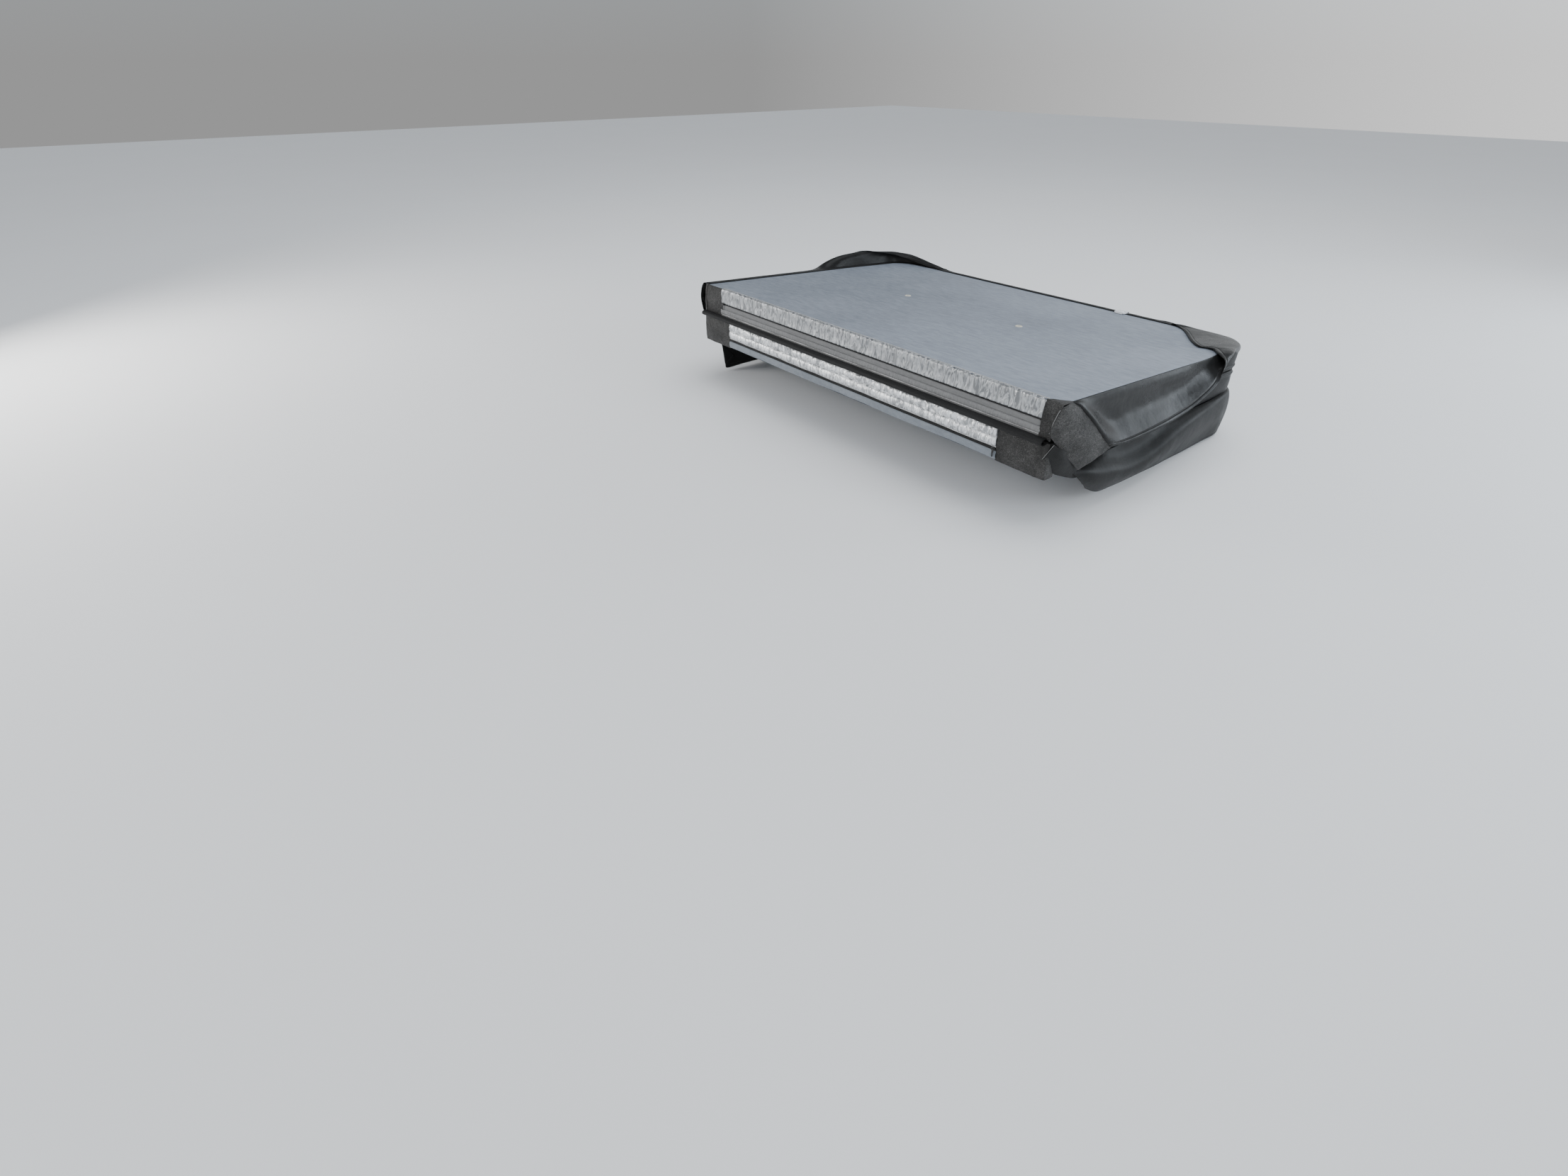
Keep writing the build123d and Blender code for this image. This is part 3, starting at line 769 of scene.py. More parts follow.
def build_lower_face():
    left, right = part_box("lower_heat_seal_pillow")[0].x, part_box("lower_heat_seal_pillow")[1].x
    pillow = face_band("lower_heat_seal_cover", (left, right),
                       [(-0.0006, 0.0880), (-0.0062, 0.0862), (-0.0108, 0.0800), (-0.0120, 0.0715),
                        (-0.0092, 0.0645), (-0.0052, 0.0620), (-0.0088, 0.0592), (-0.0118, 0.0520),
                        (-0.0112, 0.0430), (-0.0066, 0.0358), (-0.0006, 0.0338)],
                       0.0030, 40, lower, pillow_relief, end_fade=0.020)
    dress(pillow, "lower_panel", "silver", PILLOW, "lower_heat_seal_pillow")
    edge = face_band("lower_cover_edge", (left, right),
                     [(-0.0010, 0.0345), (-0.0030, 0.0335), (-0.0032, 0.0318), (-0.0012, 0.0308)],
                     0.006, 6, lower, band_relief)
    dress(edge, "lower_panel", "silver", PALE_EDGE)
    lip = face_band("lower_lip_strip", (-0.577, 0.577),
                    [(-0.0018, 0.0222), (-0.0030, 0.0205), (-0.0046, 0.0130), (-0.0036, 0.0050),
                     (0.0000, -0.0010), (0.0070, -0.0022)], 0.008, 16, lower, lip_relief)
    dress(lip, "lower_panel", "underliner", LIP)


def zipper_chain(name, x_range, z_mid, place, body, tape_node, coil_node):
    """Woven tape with a row of coil turns on it."""
    tape = face_band(f"{name}_tape_cloth", x_range,
                     [(-0.0012, z_mid - 0.0046), (-0.0015, z_mid - 0.002), (-0.0015, z_mid + 0.002),
                      (-0.0012, z_mid + 0.0046)], 0.012, 8, place, lambda x, share: x * 0)
    dress(tape, body, "zipper_tape", TAPE, tape_node)
    pitch, points, faces = 0.0021, [], []
    ring = [(math.cos(a), math.sin(a)) for a in np.linspace(0, 2 * math.pi, 7)[:-1]]
    for i in range(int((x_range[1] - x_range[0]) / pitch)):
        x = x_range[0] + (i + 0.5) * pitch
        side = 1 if i % 2 else -1
        start = len(points)
        for z, fat in ((z_mid - 0.0019 * side, 0.55), (z_mid - 0.0009 * side, 1.0),
                       (z_mid + 0.0013 * side, 1.0), (z_mid + 0.0021 * side, 0.6)):
            points += [(x + 0.00085 * fat * c, -0.0024 - 0.0008 * fat * s, z) for c, s in ring]
        for k in range(3):
            faces += [(start + k * 6 + j, start + k * 6 + (j + 1) % 6, start + (k + 1) * 6 + (j + 1) % 6,
                       start + (k + 1) * 6 + j) for j in range(6)]
        faces += [tuple(start + j for j in range(6))[::-1], tuple(start + 18 + j for j in range(6))]
    coil = mesh_object(f"{name}_coil_turns", place(points), faces)
    mesh = bmesh.new()
    mesh.from_mesh(coil.data)
    bmesh.ops.recalc_face_normals(mesh, faces=mesh.faces)
    mesh.to_mesh(coil.data)
    mesh.free()
    dress(coil, body, "zipper_coil", COIL, coil_node)


def panel_net(name, net, rows, cols, place, relief=None, thickness=SHEET, flip=False):
    """A sheet through a net of control points, with a relief along its normal."""
    p = place(surface(net, rows, cols))
    if relief is not None:
        u = np.linspace(0, 1, rows)[:, None] * np.ones(cols)
        v = np.ones(rows)[:, None] * np.linspace(0, 1, cols)
        p = p + normals(p) * relief(p, u, v)[..., None]
    return grid_object(name, p, thickness=thickness, flip=flip)


def leather_relief(p, u, v):
    """Soft creases of thick grained vinyl."""
    return ripple(p, 0.030, 21) * 0.0011 + ripple(p, 0.011, 22) * 0.0004


def build_end_patches():
    """Grained vinyl at both ends of both hinge faces, wrapped round the corner onto the wall."""
    spans = {"lower_end_patch_left": (-1, 0.575, lower), "lower_end_patch_right": (1, 0.575, lower),
             "upper_end_patch_left": (-1, 0.618, upper)}
    for node, (side, inner, place) in spans.items():
        top, low = (0.0935, -0.003) if place is lower else (0.0935, -0.0012)
        heights = [top, 0.080, 0.060, 0.038, 0.016, low]
        swell = [0.0028, 0.0050, 0.0062, 0.0070, 0.0060, 0.0020]
        columns = []
        for x, bulge, wrap in ((inner, 0.4, 0.0), (inner + 0.012, 0.8, 0.0), (inner + 0.045, 1.1, 0.0),
                               (inner + 0.090, 1.1, 0.0), (0.706, 1.0, 0.0), (0.7205, 0.55, 0.0),
                               (0.7235, 0.0, 0.012), (0.7215, 0.0, 0.032)):
            columns.append([(side * x, wrap - s * bulge, z) for z, s in zip(heights, swell)])
        columns = np.array(columns)
        flip = (side < 0) != (place is upper)
        patch = panel_net(f"{node}_cloth", columns, 56, 36, place, leather_relief, flip=not flip)
        body = node.split("_")[0] + "_panel"
        dress(patch, body, "vinyl_grained", GRAINED, node)
    cap = []
    for x, rise, lean in ((0.688, 0.0004, 0.0), (0.700, 0.0012, 0.0), (0.714, 0.0014, 0.001),
                          (0.728, 0.0010, 0.003), (0.735, 0.0002, 0.006)):
        reach = 0.004 + 1.06 * (x - 0.688)
        cap.append([(x - 0.002, reach, -0.0002 - rise * 0.3), (x - 0.001, reach * 0.7, -0.0010 - rise),
                    (x, reach * 0.25, -0.0012 - rise), (x, -0.0035, -0.0002 - rise * 0.4),
                    (x + 0.001, -0.0066, 0.010), (x - lean * 0.6, -0.0066, 0.034),
                    (x - lean * 1.4, -0.0070, 0.056), (x - lean * 2.2, -0.0056, 0.076),
                    (x - lean * 3.0, -0.0035, 0.093)])
    corner = panel_net("upper_end_patch_right_cloth", np.array(cap), 40, 60, upper, leather_relief, flip=True)
    dress(corner, "upper_panel", "vinyl_grained", GRAINED, "upper_end_patch_right")


def build_hinge_roll():
    """The vinyl hinge: one strip from panel to panel that rolls forward between them when they are folded."""
    section = [(-0.470, 0.0962), (-0.488, 0.0956), (-0.500, 0.0925), (-0.510, 0.0895), (-0.519, 0.0915),
               (-0.5225, 0.0970), (-0.519, 0.1025), (-0.510, 0.1045), (-0.500, 0.1015), (-0.488, 0.0984),
               (-0.470, 0.0984)]
    x = np.linspace(-0.714, 0.712, 180)
    line = spline(section, np.linspace(0, len(section) - 1, 44))
    p = np.zeros((len(x), len(line), 3))
    p[..., 0] = x[:, None]
    p[..., 1:] = line[None]
    middle = np.exp(-((np.linspace(-1, 1, len(line))) / 0.45) ** 2)
    p[..., 1] += (ripple(p, 0.12, 31) * 0.0022 + ripple(p, 0.03, 32) * 0.0006) * middle
    p[..., 2] += ripple(p, 0.16, 33) * 0.0014 * middle
    roll = grid_object("hinge_roll", p, thickness=0.0012, flip=True)
    roll.data.materials.append(ROLL)
    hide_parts("lower_hinge_strip", "upper_hinge_strip")
    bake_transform(roll)


# ---------------------------------------------------------------- skirts
FAR_SEAM_Y = HINGE_Y + DEPTH + SEAM_OUT
LOWER_SEAM_OUT = 0.001
LOWER_SEAM_Z = -0.001
FAR_HALF = 0.545  # where an upper side skirt ends and the far skirt begins, from the middle
LOWER_FAR_HALF = 0.53
LOWER_FAR_SEAM_Y = HINGE_Y + DEPTH + LOWER_SEAM_OUT


def station(seam_x, seam_y, out_x, out_y, section, base):
    """Control points of one cross-section, given as (outward, upward) from a seam point."""
    return [(seam_x + out * out_x, seam_y + out * out_y, base + up) for out, up in section]


def side_station(side, y, section):
    return station(side * (HALF_WIDTH + SEAM_OUT), y, side, 0, section, seam_height(y))


def corner_station(side, degrees, section, base=None, radius=CORNER_R + SEAM_OUT):
    a = math.radians(degrees)
    x = side * (HALF_WIDTH - CORNER_R + radius * math.cos(a))
    y = HINGE_Y + DEPTH - CORNER_R + radius * math.sin(a)
    height = seam_height(y) if base is None else base
    return station(x, y, side * math.cos(a), math.sin(a), section, height)


def far_station(x, section, base=None, seam_y=FAR_SEAM_Y):
    height = seam_height(seam_y) if base is None else base
    return station(x, seam_y, 0, 1, section, height)


def stations(place, *table):
    """Cross-sections at place(where, section), one for each (where, points out from the seam)."""
    return [place(where, [(0, 0), *section]) for where, *section in table]


def row_points(*points):
    """Control points given as x, y and the height above the upper panel's underside at that y."""
    return [(x, y, seam_height(y) + rise) for x, y, rise in points]


def skirt_relief(size=0.10, depth=0.0012, seed=41):
    """Soft ripples that fade out at the seam and, towards the far corners, nearly so."""
    def relief(p, u, v):
        quiet = np.clip((p[..., 1] - 0.30) / -0.10, 0.1, 1)
        ripples = ripple(p, size, seed) * depth + ripple(p, size * 0.3, seed + 1) * depth * 0.18
        return quiet * ripples * np.clip(v * 4, 0, 1)
    return relief


def skirt_points(net, rows, cols, relief, drawn):
    """Points of a skirt through its control points, with soft ripples."""
    p = surface(net, rows, cols)
    u = np.linspace(0, 1, rows)[:, None] * np.ones(cols)
    v = np.ones(rows)[:, None] * np.linspace(0, 1, cols)
    p = p + normals(p) * relief(p, u, v)[..., None]
    return draw_in(p) if drawn else p


def skirt_piece(name, points, material, flip, nodes=()):
    obj = grid_object(name, points, thickness=SHEET, flip=flip, from_hem=True)
    obj.data.materials.append(material)
    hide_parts(*nodes)
    return obj


def skirt(name, net, rows, cols, material, flip, relief=None, nodes=()):
    points = skirt_points(net, rows, cols, relief or skirt_relief(), name.startswith("upper"))
    return skirt_piece(name, points, material, flip, nodes)


FAR_HANG = [(0, 0), (0.010, -0.003), (0.0195, -0.014), (0.0215, -0.045), (0.0218, -0.088), (0.0205, -0.130)]
LOWER_FAR_HANG = [(-0.0030, 0.003), (0.0014, -0.003), (0.0018, -0.030), (0.0018, -0.062), (0.0016, -0.096),
                  (0.0010, -0.131)]
LOWER_HANG = [(-0.0040, 0.003), (0.006, -0.003), (0.012, -0.030), (0.013, -0.062), (0.010, -0.096),
              (0.005, -0.131)]
CREASE = [(0.7290, -0.452, 0.1908), (0.7375, -0.432, 0.1800), (0.7500, -0.398, 0.1480),
          (0.7600, -0.366, 0.1130), (0.7675, -0.336, 0.0800), (0.7720, -0.308, 0.0510)]


FLAP_EDGE = [(0.7340, -0.4965, 0.1895), (0.7300, -0.5120, 0.1600), (0.7270, -0.5220, 0.1270),
             (0.7350, -0.4920, 0.0900), (0.7440, -0.4520, 0.0500), (0.7500, -0.4080, 0.0080)]


def right_drape():
    """Upper right skirt: hangs over the wall, then turns over at the far corner, tucked on the underliner."""
    crease = np.array(CREASE)
    under_flap = crease * 0.92 + np.array(FLAP_EDGE) * 0.08 - np.array([0.0030, 0.0, 0.0015])
    net = [under_flap, crease + np.array([0.0022, -0.0006, 0.0012])]
    shares = ((0, 0), (0.13, 0.17), (0.12, 0.39), (0.27, 0.60), (0.63, 0.80), (1, 1))
    for y, hem_x, hem_y, hem_drop in ((-0.375, 0.778, -0.250, 0.141), (-0.280, 0.780, -0.178, 0.137),
                                      (-0.165, 0.781, -0.108, 0.130), (-0.045, 0.781, -0.020, 0.120),
                                      (0.065, 0.779, 0.075, 0.104)):
        net.append([(0.7285 + (hem_x - 0.7285) * out, y + (hem_y - y) * down,
                     seam_height(y) - hem_drop * down) for out, down in shares])
    net += [
        row_points((.7285, .150, 0), (.733, .151, -.016), (.738, .154, -.033), (.749, .158, -.049),
                   (.763, .165, -.063), (.775, .172, -.075)),
        row_points((.7285, .205, 0), (.734, .207, -.012), (.740, .210, -.026), (.751, .213, -.039),
                   (.763, .217, -.048), (.770, .220, -.053)),
        row_points((.7285, .250, 0), (.738, .254, -.007), (.749, .256, -.015), (.761, .253, -.018),
                   (.770, .244, -.014), (.768, .233, -.006)),
        row_points((.7285, .290, 0), (.740, .296, -.004), (.754, .298, -.003), (.764, .288, .004),
                   (.758, .268, .008), (.743, .246, .007)),
        row_points((.7285, .330, 0), (.740, .336, -.003), (.750, .336, .004), (.751, .325, .011),
                   (.735, .307, .013), (.706, .290, .007)),
        row_points((.7285, .370, -.010), (.738, .374, -.003), (.739, .372, .007), (.730, .355, .011),
                   (.711, .326, .011), (.680, .296, .005)),
        row_points((.726, .429, -.022), (.729, .431, -.008), (.724, .427, .005), (.709, .402, .010),
                   (.688, .348, .009), (.655, .291, .005)),
        row_points((.710, .465, -.026), (.7125, .467, -.010), (.706, .461, .004), (.690, .437, .009),
                   (.658, .388, .0075), (.613, .334, .005)),
        row_points((.674, .498, -.026), (.6755, .501, -.010), (.6715, .495, .0035), (.655, .476, .0075),
                   (.614, .443, .0070), (.562, .405, .005)),
        row_points((.627, .512, -.024), (.6275, .514, -.009), (.626, .509, .0030), (.612, .494, .0065),
                   (.576, .472, .0065), (.530, .446, .005)),
        row_points((.560, .5125, -.018), (.560, .515, -.006), (.559, .511, .0035), (.549, .502, .0060),
                   (.530, .489, .0055), (.506, .474, .0045)),
        row_points((.500, .5125, -.008), (.500, .517, -.002), (.499, .515, .0035), (.493, .509, .0055),
                   (.483, .502, .0055), (.473, .494, .0045))]
    net += stations(
        far_station,
        (0.450, (0.008, 0.001), (0.011, -0.006), (0.012, -0.018), (0.012, -0.032), (0.011, -0.046)),
        (0.415, (0.008, -0.002), (0.013, -0.018), (0.015, -0.042), (0.015, -0.066), (0.013, -0.092)))
    return net + [far_station(x, FAR_HANG) for x in (0.370, 0.25, 0.12, 0.0)]


def left_side_station(y, section):
    return side_station(-1, y, section)


def left_corner_station(degrees, section):
    return corner_station(-1, degrees, section)


def left_drape():
    """Upper left skirt: hangs over the wall, then stands up as a low arch round the far corner."""
    hang = [(0, 0), (0.012, -0.006), (0.025, -0.030), (0.033, -0.063), (0.037, -0.097), (0.036, -0.130)]
    end = [(0.002, 0), (0.010, -0.010), (0.018, -0.030), (0.021, -0.056), (0.014, -0.084), (0.004, -0.106)]
    net = [left_side_station(-0.499, end)]
    net += stations(
        left_side_station,
        (-0.465, (0.013, -0.005), (0.027, -0.027), (0.034, -0.058), (0.033, -0.092), (0.026, -0.124)))
    net += [left_side_station(y, hang) for y in (-0.39, -0.28, -0.17)]
    net += stations(
        left_side_station,
        (-0.08, (0.013, -0.006), (0.028, -0.026), (0.038, -0.055), (0.041, -0.085), (0.037, -0.112)),
        (-0.01, (0.014, -0.003), (0.031, -0.015), (0.043, -0.035), (0.047, -0.057), (0.044, -0.077)),
        (0.05, (0.013, 0.002), (0.029, 0.000), (0.042, -0.008), (0.049, -0.020), (0.050, -0.034)),
        (0.10, (0.008, 0.010), (0.019, 0.017), (0.032, 0.018), (0.043, 0.011), (0.049, -0.002)),
        (0.16, (0.004, 0.016), (0.010, 0.029), (0.021, 0.036), (0.033, 0.033), (0.042, 0.021)),
        (0.22, (0.003, 0.018), (0.007, 0.034), (0.015, 0.043), (0.025, 0.043), (0.034, 0.034)),
        (0.28, (0.003, 0.018), (0.006, 0.034), (0.009, 0.045), (0.012, 0.051), (0.013, 0.054)),
        (0.34, (0.004, 0.016), (0.007, 0.032), (0.006, 0.044), (-0.001, 0.050), (-0.010, 0.049)))
    net += stations(
        left_corner_station,
        (12, (0.004, 0.015), (0.006, 0.031), (0.000, 0.043), (-0.013, 0.045), (-0.026, 0.036)),
        (38, (0.004, 0.014), (0.005, 0.029), (-0.003, 0.040), (-0.018, 0.040), (-0.034, 0.028)),
        (65, (0.004, 0.013), (0.004, 0.026), (-0.005, 0.036), (-0.020, 0.035), (-0.036, 0.022)))
    net += stations(
        far_station,
        (-0.610, (0.004, 0.010), (0.003, 0.021), (-0.006, 0.028), (-0.020, 0.026), (-0.033, 0.015)),
        (-0.560, (0.005, 0.007), (0.004, 0.015), (-0.004, 0.019), (-0.015, 0.016), (-0.025, 0.008)),
        (-0.515, (0.006, 0.003), (0.008, 0.007), (0.004, 0.010), (-0.003, 0.009), (-0.009, 0.004)),
        (-0.475, (0.007, 0.001), (0.012, -0.001), (0.016, -0.006), (0.018, -0.012), (0.018, -0.019)),
        (-0.440, (0.008, -0.002), (0.014, -0.014), (0.017, -0.034), (0.017, -0.057), (0.015, -0.080)),
        (-0.405, (0.008, -0.004), (0.014, -0.027), (0.015, -0.058), (0.014, -0.090), (0.011, -0.120)))
    return net + [far_station(x, FAR_HANG) for x in (-0.370, -0.25, -0.12, 0.0)]


def lower_corner(side):
    """The part of a lower side skirt that goes round the far corner."""
    radius = CORNER_R + LOWER_SEAM_OUT
    rows = [corner_station(side, a, LOWER_HANG, LOWER_SEAM_Z, radius) for a in (0, 30, 60, 88)]
    return rows + [far_station(side * x, LOWER_FAR_HANG, LOWER_SEAM_Z, LOWER_FAR_SEAM_Y)
                   for x in (0.56, LOWER_FAR_HALF)]


def lower_right_net():
    rows = [[(.7180, -.430, 0), (.735, -.415, -.004), (.743, -.395, -.018), (.743, -.370, -.038),
             (.739, -.345, -.058), (.730, -.318, -.078)],
            [(.7180, -.360, 0), (.739, -.355, -.006), (.755, -.340, -.022), (.757, -.320, -.048),
             (.747, -.296, -.076), (.730, -.272, -.102)],
            [(.7180, -.270, -.002), (.736, -.270, -.016), (.758, -.262, -.040), (.759, -.250, -.066),
             (.745, -.236, -.095), (.724, -.222, -.119)],
            [(.7180, -.160, -.002), (.731, -.160, -.030), (.758, -.156, -.057), (.759, -.150, -.080),
             (.743, -.145, -.104), (.722, -.140, -.126)],
            [(.7180, -.050, -.002), (.731, -.050, -.028), (.757, -.050, -.054), (.758, -.050, -.079),
             (.743, -.050, -.106), (.723, -.050, -.129)],
            [(.7180, .080, -.002), (.733, .080, -.014), (.752, .080, -.034), (.752, .080, -.065),
             (.740, .080, -.100), (.724, .080, -.131)],
            [(.7180, .200, -.002), (.731, .200, -.008), (.744, .200, -.022), (.746, .200, -.058),
             (.737, .200, -.097), (.724, .200, -.132)],
            [(.7180, .320, -.002), (.727, .320, -.006), (.735, .320, -.020), (.737, .320, -.058),
             (.731, .320, -.097), (.723, .320, -.132)]]
    return rows + lower_corner(1)


def lower_left_net():
    rows = [[(x, -0.478 + 0.10 * k / 5, z) for k, (x, z) in enumerate(
        ((-.718, 0), (-.728, -.008), (-.733, -.026), (-.734, -.050), (-.731, -.074), (-.725, -.098)))]]
    rows += [station(-0.7180, y, -1, 0, LOWER_HANG, LOWER_SEAM_Z)
             for y in (-0.42, -0.33, -0.2, -0.05, 0.1, 0.25)]
    return rows + lower_corner(-1)


def build_upper_skirts(side, word, drape):
    """One drape, cut in two where the side skirt becomes the far one."""
    points = skirt_points(drape(), 420, 32, skirt_relief(), True)
    split = np.argmax(side * points[:, 0, 0] < FAR_HALF)
    upright = skirt_piece(f"upper_{word}_skirt_cloth", points[:split + 1], SMOOTH, side < 0,
                          (f"upper_skirt_{word}", f"upper_skirt_corner_{word}"))
    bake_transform(upright)
    far = skirt_piece(f"upper_far_skirt_{word}_cloth", points[split:], SMOOTH, side < 0,
                      ("upper_skirt_far",) if side > 0 else ())
    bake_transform(far)


def build_lower_skirts(side, word, net):
    low = skirt(f"lower_{word}_skirt_cloth", net, 260, 30, OUTER, side < 0,
                nodes=(f"lower_skirt_{word}", f"lower_skirt_corner_{word}"))
    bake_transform(low)
    rows = [far_station(side * x, LOWER_FAR_HANG, LOWER_SEAM_Z, LOWER_FAR_SEAM_Y)
            for x in (LOWER_FAR_HALF, 0.36, 0.18, 0.0)]
    low_far = skirt(f"lower_far_skirt_{word}_cloth", rows, 90, 24, OUTER, side < 0,
                    nodes=("lower_skirt_far",) if side > 0 else (), relief=lambda p, u, v: p[..., 0] * 0)
    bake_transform(low_far)


def build_skirts():
    """Skirts of both panels, with the folded end flap of the upper right skirt and the return below it."""
    build_upper_skirts(1, "right", right_drape)
    build_lower_skirts(1, "right", lower_right_net())
    build_upper_skirts(-1, "left", left_drape)
    build_lower_skirts(-1, "left", lower_left_net())
    build_end_flaps()


def raw_edge(name, path, radius, body):
    """The pale cut edge of thick vinyl: a thin uneven cord of its backing cloth."""
    line = spline(path, np.linspace(0, len(path) - 1, 60))
    line = line + np.stack([ripple(line, 0.012, k) for k in (71, 72, 73)], -1) * 0.0011
    ahead = np.gradient(line, axis=0)
    ahead /= np.linalg.norm(ahead, axis=-1, keepdims=True)
    side = np.cross(ahead, [1.0, 0.0, 0.0])
    side /= np.linalg.norm(side, axis=-1, keepdims=True)
    lift = np.cross(side, ahead)
    turns = np.linspace(0, 2 * math.pi, 9)
    p = line[:, None] + radius * (side[:, None] * np.cos(turns)[None, :, None]
                                  + lift[:, None] * np.sin(turns)[None, :, None])
    cord = weld(grid_object(name, p), 1e-6)
    dress(facing_out(cord), body, "vinyl_grained", RAW)


def build_end_flaps():
    """The grained hinge end of the upper right skirt, folded back at a slant, and the return below it."""
    outer = np.array(FLAP_EDGE)
    inner = np.array(CREASE) * 0.95 + outer * 0.05
    swell = np.array([0.75, -0.5, 0.4]) * 0.013
    net = []
    for t in (0, 0.25, 0.5, 0.75, 1.0):
        bulge = np.sin(math.pi * t) * np.sin(math.pi * np.linspace(0.12, 0.9, 6))
        net.append(outer * (1 - t) + inner * t + swell * bulge[:, None])

    def puckers(p, u, v):
        near = np.clip((u - 0.55) / 0.45, 0, 1) + np.clip((v - 0.8) / 0.2, 0, 1)
        return leather_relief(p, u, v) + ripple(p, 0.006, 51) * 0.0005 * near

    flap = skirt("upper_right_end_flap", np.array(net), 60, 64, GRAINED, False, puckers)
    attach(flap, "upper_right_skirt")
    back = [[(.733, -.503, .096), (.716, -.506, .062), (.699, -.503, .029)],
            [(.744, -.480, .080), (.738, -.470, .040), (.722, -.462, .004)],
            [(.742, -.440, .062), (.744, -.420, .022), (.735, -.405, -.020)],
            [(.736, -.400, .050), (.738, -.385, .010), (.730, -.375, -.030)]]
    raw_edge("flap_raw_edge", [outer[k] + np.array([-0.001, -0.001, 0.0]) for k in (0, 1, 2)], 0.0010,
             "upper_right_skirt")
    raw_edge("return_raw_edge", back[0], 0.0010, "lower_panel")
    # the return gets the darker roll vinyl instead of the grained one, as painted shade under the flap
    ret = skirt("lower_right_return", np.array(back), 40, 30, ROLL, False, leather_relief)
    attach(ret, "lower_panel")


# ---------------------------------------------------------------- small parts
def tube_sheet(name, path, width_vector, thickness, place, body, slot, material, nodes=(), steps=40, cols=9):
    """A flat strap: width_vector swept along a smooth path."""
    line = spline(path, np.linspace(0, len(path) - 1, steps))
    across = np.linspace(-0.5, 0.5, cols)
    p = line[:, None] + across[None, :, None] * np.asarray(width_vector, float)
    obj = grid_object(name, place(p), thickness=thickness, inwards=0)
    bevel = obj.modifiers.new("edge", "BEVEL")
    bevel.width = thickness * 0.3
    bevel.segments = 2
    apply_all(obj)
    obj.data.shade_smooth()
    return dress(obj, body, slot, material, *nodes)


def block(parts, centre, size, bevel=0.001, shift=None):
    """Adds a rounded block to a bmesh."""
    made = bmesh.ops.create_cube(parts, size=1.0)["verts"]
    for v in made:
        v.co = Vector([c + s * k for c, s, k in zip(centre, size, v.co)])
        if shift is not None:
            v.co = shift(v.co)
    edges = list({e for v in made for e in v.link_edges})
    bmesh.ops.bevel(parts, geom=edges, offset=bevel, segments=3, affect="EDGES", profile=0.6)


def from_bmesh(name, parts, place, body, slot, material, nodes=()):
    mesh = bpy.data.meshes.new(name)
    parts.to_mesh(mesh)
    parts.free()
    co = np.zeros(len(mesh.vertices) * 3)
    mesh.vertices.foreach_get("co", co)
    mesh.vertices.foreach_set("co", place(co.reshape(-1, 3)).ravel())
    check = bmesh.new()
    check.from_mesh(mesh)
    bmesh.ops.recalc_face_normals(check, faces=check.faces)
    check.to_mesh(mesh)
    check.free()
    mesh.shade_smooth()
    obj = bpy.data.objects.new(name, mesh)
    bpy.context.scene.collection.objects.link(obj)
    return dress(obj, body, slot, material, *nodes)


def lathe(name, profile, centre, place, steps=40):
    """A turned part round an upright line through centre."""
    turns = np.linspace(0, 2 * math.pi, steps + 1)[:-1]
    p = np.array([[(centre[0] + r * math.cos(a), centre[1] + r * math.sin(a), centre[2] + z)
                   for r, z in profile] for a in turns])
    count = len(profile)
    faces = [(i * count + j, ((i + 1) % steps) * count + j, ((i + 1) % steps) * count + (j + 1) % count,
              i * count + (j + 1) % count) for i in range(steps) for j in range(count)]
    return mesh_object(name, place(p), faces)


def facing_out(obj):
    mesh = bmesh.new()
    mesh.from_mesh(obj.data)
    bmesh.ops.recalc_face_normals(mesh, faces=mesh.faces)
    mesh.to_mesh(obj.data)
    mesh.free()
    return obj


def build_grommets():
    """Moulded drain eyelets: a domed flange round a stepped hole."""
    profile = [(0.0050, 0.0016), (0.0050, -0.0012), (0.0058, -0.0021), (0.0076, -0.0025), (0.0094, -0.0021),
               (0.0108, -0.0012), (0.0116, -0.0001), (0.0112, 0.0016)]
    for panel, place in (("lower", lower), ("upper", upper)):
        eyelets = [facing_out(lathe(f"{panel}_eyelet_{i}", profile, (x, 0.510, -0.0004), place))
                   for i, x in enumerate((-0.232, 0.232))]
        dress(joined(f"{panel}_drain_eyelets", eyelets), f"{panel}_panel", "grommet", CREAM,
              f"{panel}_drain_grommets")


def build_handles():
    """Webbing handles sewn flat at both ends and bowed in the middle."""
    reach = [(0.315, 0.0016), (0.330, 0.0016), (0.350, 0.0020), (0.375, 0.0058), (0.405, 0.0104),
             (0.450, 0.0124), (0.495, 0.0104), (0.525, 0.0058), (0.550, 0.0020), (0.570, 0.0016),
             (0.585, 0.0016)]
    for panel, place in (("lower", lower), ("upper", upper)):
        for side, word in ((1, "right"), (-1, "left")):
            path = [(side * (HALF_WIDTH + out), y, 0.035) for y, out in reach]
            tube_sheet(f"{panel}_handle_{word}_strap", path, (0, 0, 0.038), 0.0028, place, f"{panel}_panel",
                       "webbing", WEB, (f"{panel}_handle_{word}",), 70)


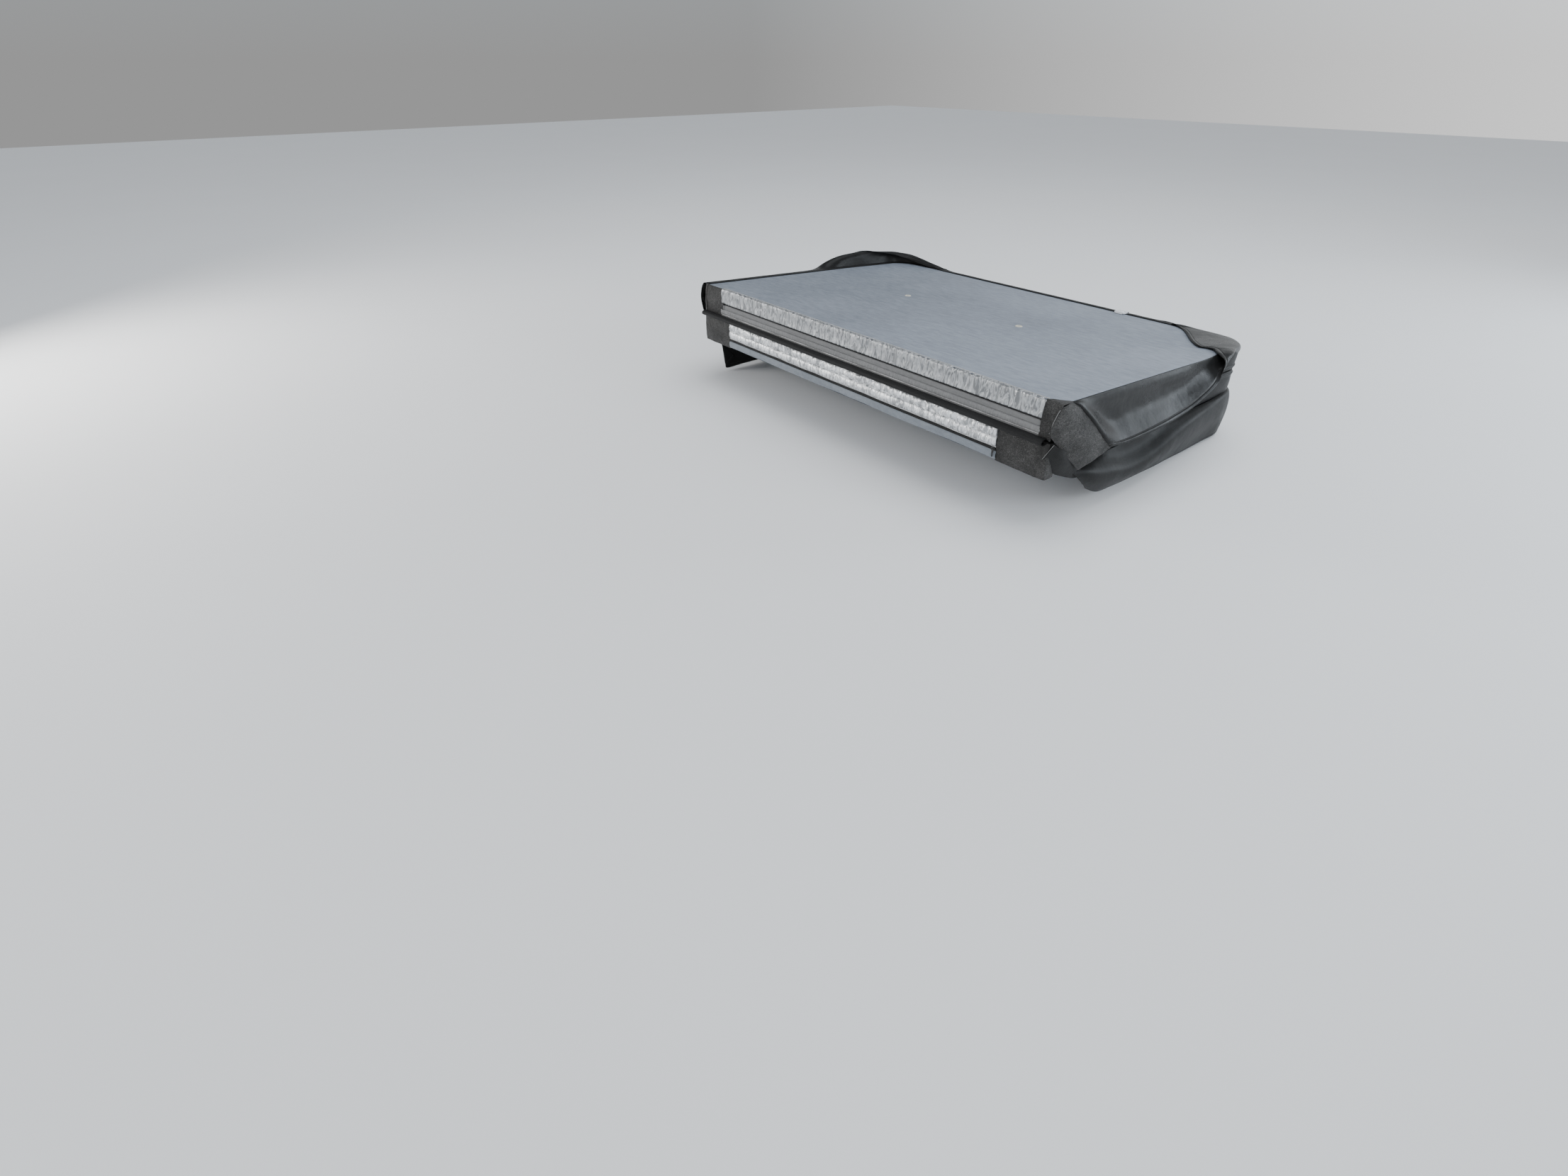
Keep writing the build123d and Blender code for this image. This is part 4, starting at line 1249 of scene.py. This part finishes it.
def buckle(name, centre, width, length, thick, place, body, slot, material, nodes):
    """A side-release buckle: strap bar, frame, tongue and two spring arms."""
    parts = bmesh.new()
    x, y, z = centre
    w, h, t = width(1.0), length(1.0), thick(1.0)

    def at(a, b, c=0.0):
        return tuple(x0 + a * w0 + b * h0 + c * t0 for x0, w0, h0, t0 in zip((x, y, z), w, h, t))

    def size(a, b, c):
        return tuple(abs(a * w0) + abs(b * h0) + abs(c * t0) for w0, h0, t0 in zip(w, h, t))

    block(parts, at(0, -0.0128), size(0.0340, 0.0044, 0.0070), 0.0014)
    block(parts, at(-0.0147, -0.0055), size(0.0046, 0.0150, 0.0074), 0.0014)
    block(parts, at(0.0147, -0.0055), size(0.0046, 0.0150, 0.0074), 0.0014)
    block(parts, at(0, -0.0052), size(0.0260, 0.0030, 0.0040), 0.0010)
    block(parts, at(0, 0.0062), size(0.0250, 0.0176, 0.0088), 0.0026)
    block(parts, at(-0.0146, 0.0070), size(0.0040, 0.0110, 0.0058), 0.0013)
    block(parts, at(0.0146, 0.0070), size(0.0040, 0.0110, 0.0058), 0.0013)
    block(parts, at(0, 0.0062, 0.0042), size(0.0150, 0.0100, 0.0012), 0.0004)
    return from_bmesh(name, parts, place, body, slot, material, nodes)


def axis(i, sign=1.0):
    """A function that gives a length along one of the panel's axes."""
    return lambda k: tuple(sign * k if j == i else 0.0 for j in range(3))


STRAP_X = 0.300
WEB_WIDTH = 0.025
WEB_THICK = 0.0015


def strap_web(name, path, place, body, nodes=(), steps=24):
    """Strap webbing along a path of (y, z) points at the strap's place x = path[0]."""
    x, *points = path
    tube_sheet(name, [(x, y, z) for y, z in points], (WEB_WIDTH, 0, 0), WEB_THICK, place, body, "webbing",
               WEB, nodes, steps)


def build_straps():
    """Tie-down straps on the far skirts, with their buckles."""
    for side, word in ((1, "right"), (-1, "left")):
        x, body = side * STRAP_X, f"lower_{word}_strap"
        hanging = [x, (1.0042, -0.003), (1.0046, -0.018), (1.0056, -0.036), (1.0074, -0.052),
                   (1.0080, -0.066)]
        strap_web(f"lower_strap_{word}_web", hanging, lower, body, (f"lower_strap_{word}",), 30)
        buckle(f"lower_buckle_{word}_clip", (x, 1.0080, -0.077), axis(0), axis(2, -1.0), axis(1), lower, body,
               "buckle_black", BLACK_CLIP, (f"lower_buckle_{word}",))
    standing = [-STRAP_X, (1.0112, 0.004), (1.0114, 0.020), (1.0124, 0.040), (1.0146, 0.066)]
    strap_web("upper_strap_left_web", standing, upper, "upper_far_skirt", ("upper_strap_left",))
    buckle("upper_buckle_left_clip", (-STRAP_X, 1.0150, 0.077), axis(0), axis(2), axis(1), upper,
           "upper_far_skirt", "buckle_black", BLACK_CLIP, ("upper_buckle_left",))
    # the web is split where the clip's end flops up, so the sewn part stays on the panel
    split = (0.9950, -0.0052)
    strap_web("upper_strap_right_tail", [STRAP_X, (1.0050, -0.0014), (1.0000, -0.0040), split], upper,
              "upper_panel", (), 12)
    strap_web("upper_strap_right_web", [STRAP_X, split, (0.9890, -0.0052), (0.9830, -0.0052)], upper,
              "upper_strap", ("upper_strap_right",), 12)
    buckle("upper_buckle_right_clip", (STRAP_X, 0.9740, -0.0052), axis(0), axis(1, -1.0), axis(2), upper,
           "upper_strap", "buckle_white", WHITE_CLIP, ("upper_buckle_right",))


def stadium(width, length, count, middle=0.0):
    """Points of a rounded slot shape, length along z."""
    points = []
    for a in np.linspace(0, 2 * math.pi, count, endpoint=False):
        s = math.sin(a)
        points.append((width / 2 * math.cos(a),
                       middle + width / 2 * s + math.copysign((length - width) / 2, s + 1e-9)))
    return points


def build_zipper_pull(panel, x, z_top, sign, place):
    """Slider body with its bridge, and a pull tab with an eye at each end."""
    parts = bmesh.new()
    z = z_top
    block(parts, (x, -0.0053, z), (0.0118, 0.0036, 0.0076), 0.0011,
          lambda v: Vector((v.x, v.y, z + (v.z - z) * (1.0 - 0.22 * (v.x - x) / 0.006))))
    block(parts, (x - 0.0042, -0.0082, z), (0.0014, 0.0030, 0.0030), 0.0005)
    block(parts, (x + 0.0042, -0.0082, z), (0.0014, 0.0030, 0.0030), 0.0005)
    block(parts, (x, -0.0095, z), (0.0096, 0.0011, 0.0030), 0.0004)
    from_bmesh(f"{panel}_slider_body", parts, place, f"{panel}_slider", "zipper_metal", METAL,
               (f"{panel}_zipper_slider",))
    count, half = 36, 0.0007
    middle = z + sign * 0.0098
    outer = stadium(0.0050, 0.0210, count, middle)
    inner = stadium(0.0022, 0.0070, count, middle + sign * 0.0045)
    points = [(x + a, -0.0086 + d, b) for d in (-half, half) for loop in (outer, inner) for a, b in loop]
    faces = []
    for i in range(count):
        j = (i + 1) % count
        faces += [(i, j, count + j, count + i), (2 * count + i, 3 * count + i, 3 * count + j, 2 * count + j),
                  (i, 2 * count + i, 2 * count + j, j), (count + i, count + j, 3 * count + j, 3 * count + i)]
    tab = facing_out(mesh_object(f"{panel}_pull_tab", place(np.array(points)), faces))
    dress(tab, f"{panel}_pull", "zipper_metal", METAL, f"{panel}_zipper_pull")


build_upper_face()
build_lower_face()
lower_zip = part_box("lower_zipper_tape")
upper_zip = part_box("upper_zipper_tape")
zipper_chain("lower", (lower_zip[0].x, lower_zip[1].x), 0.027, lower, "lower_panel", "lower_zipper_tape",
             "lower_zipper_coil")
zipper_chain("upper", (upper_zip[0].x, upper_zip[1].x), 0.048, upper, "upper_panel", "upper_zipper_tape",
             "upper_zipper_coil")
build_end_patches()
build_hinge_roll()
build_skirts()
build_grommets()
build_handles()
build_straps()
build_zipper_pull("lower", 0.570, 0.027, -1, lower)
build_zipper_pull("upper", -0.610, 0.048, 1, upper)
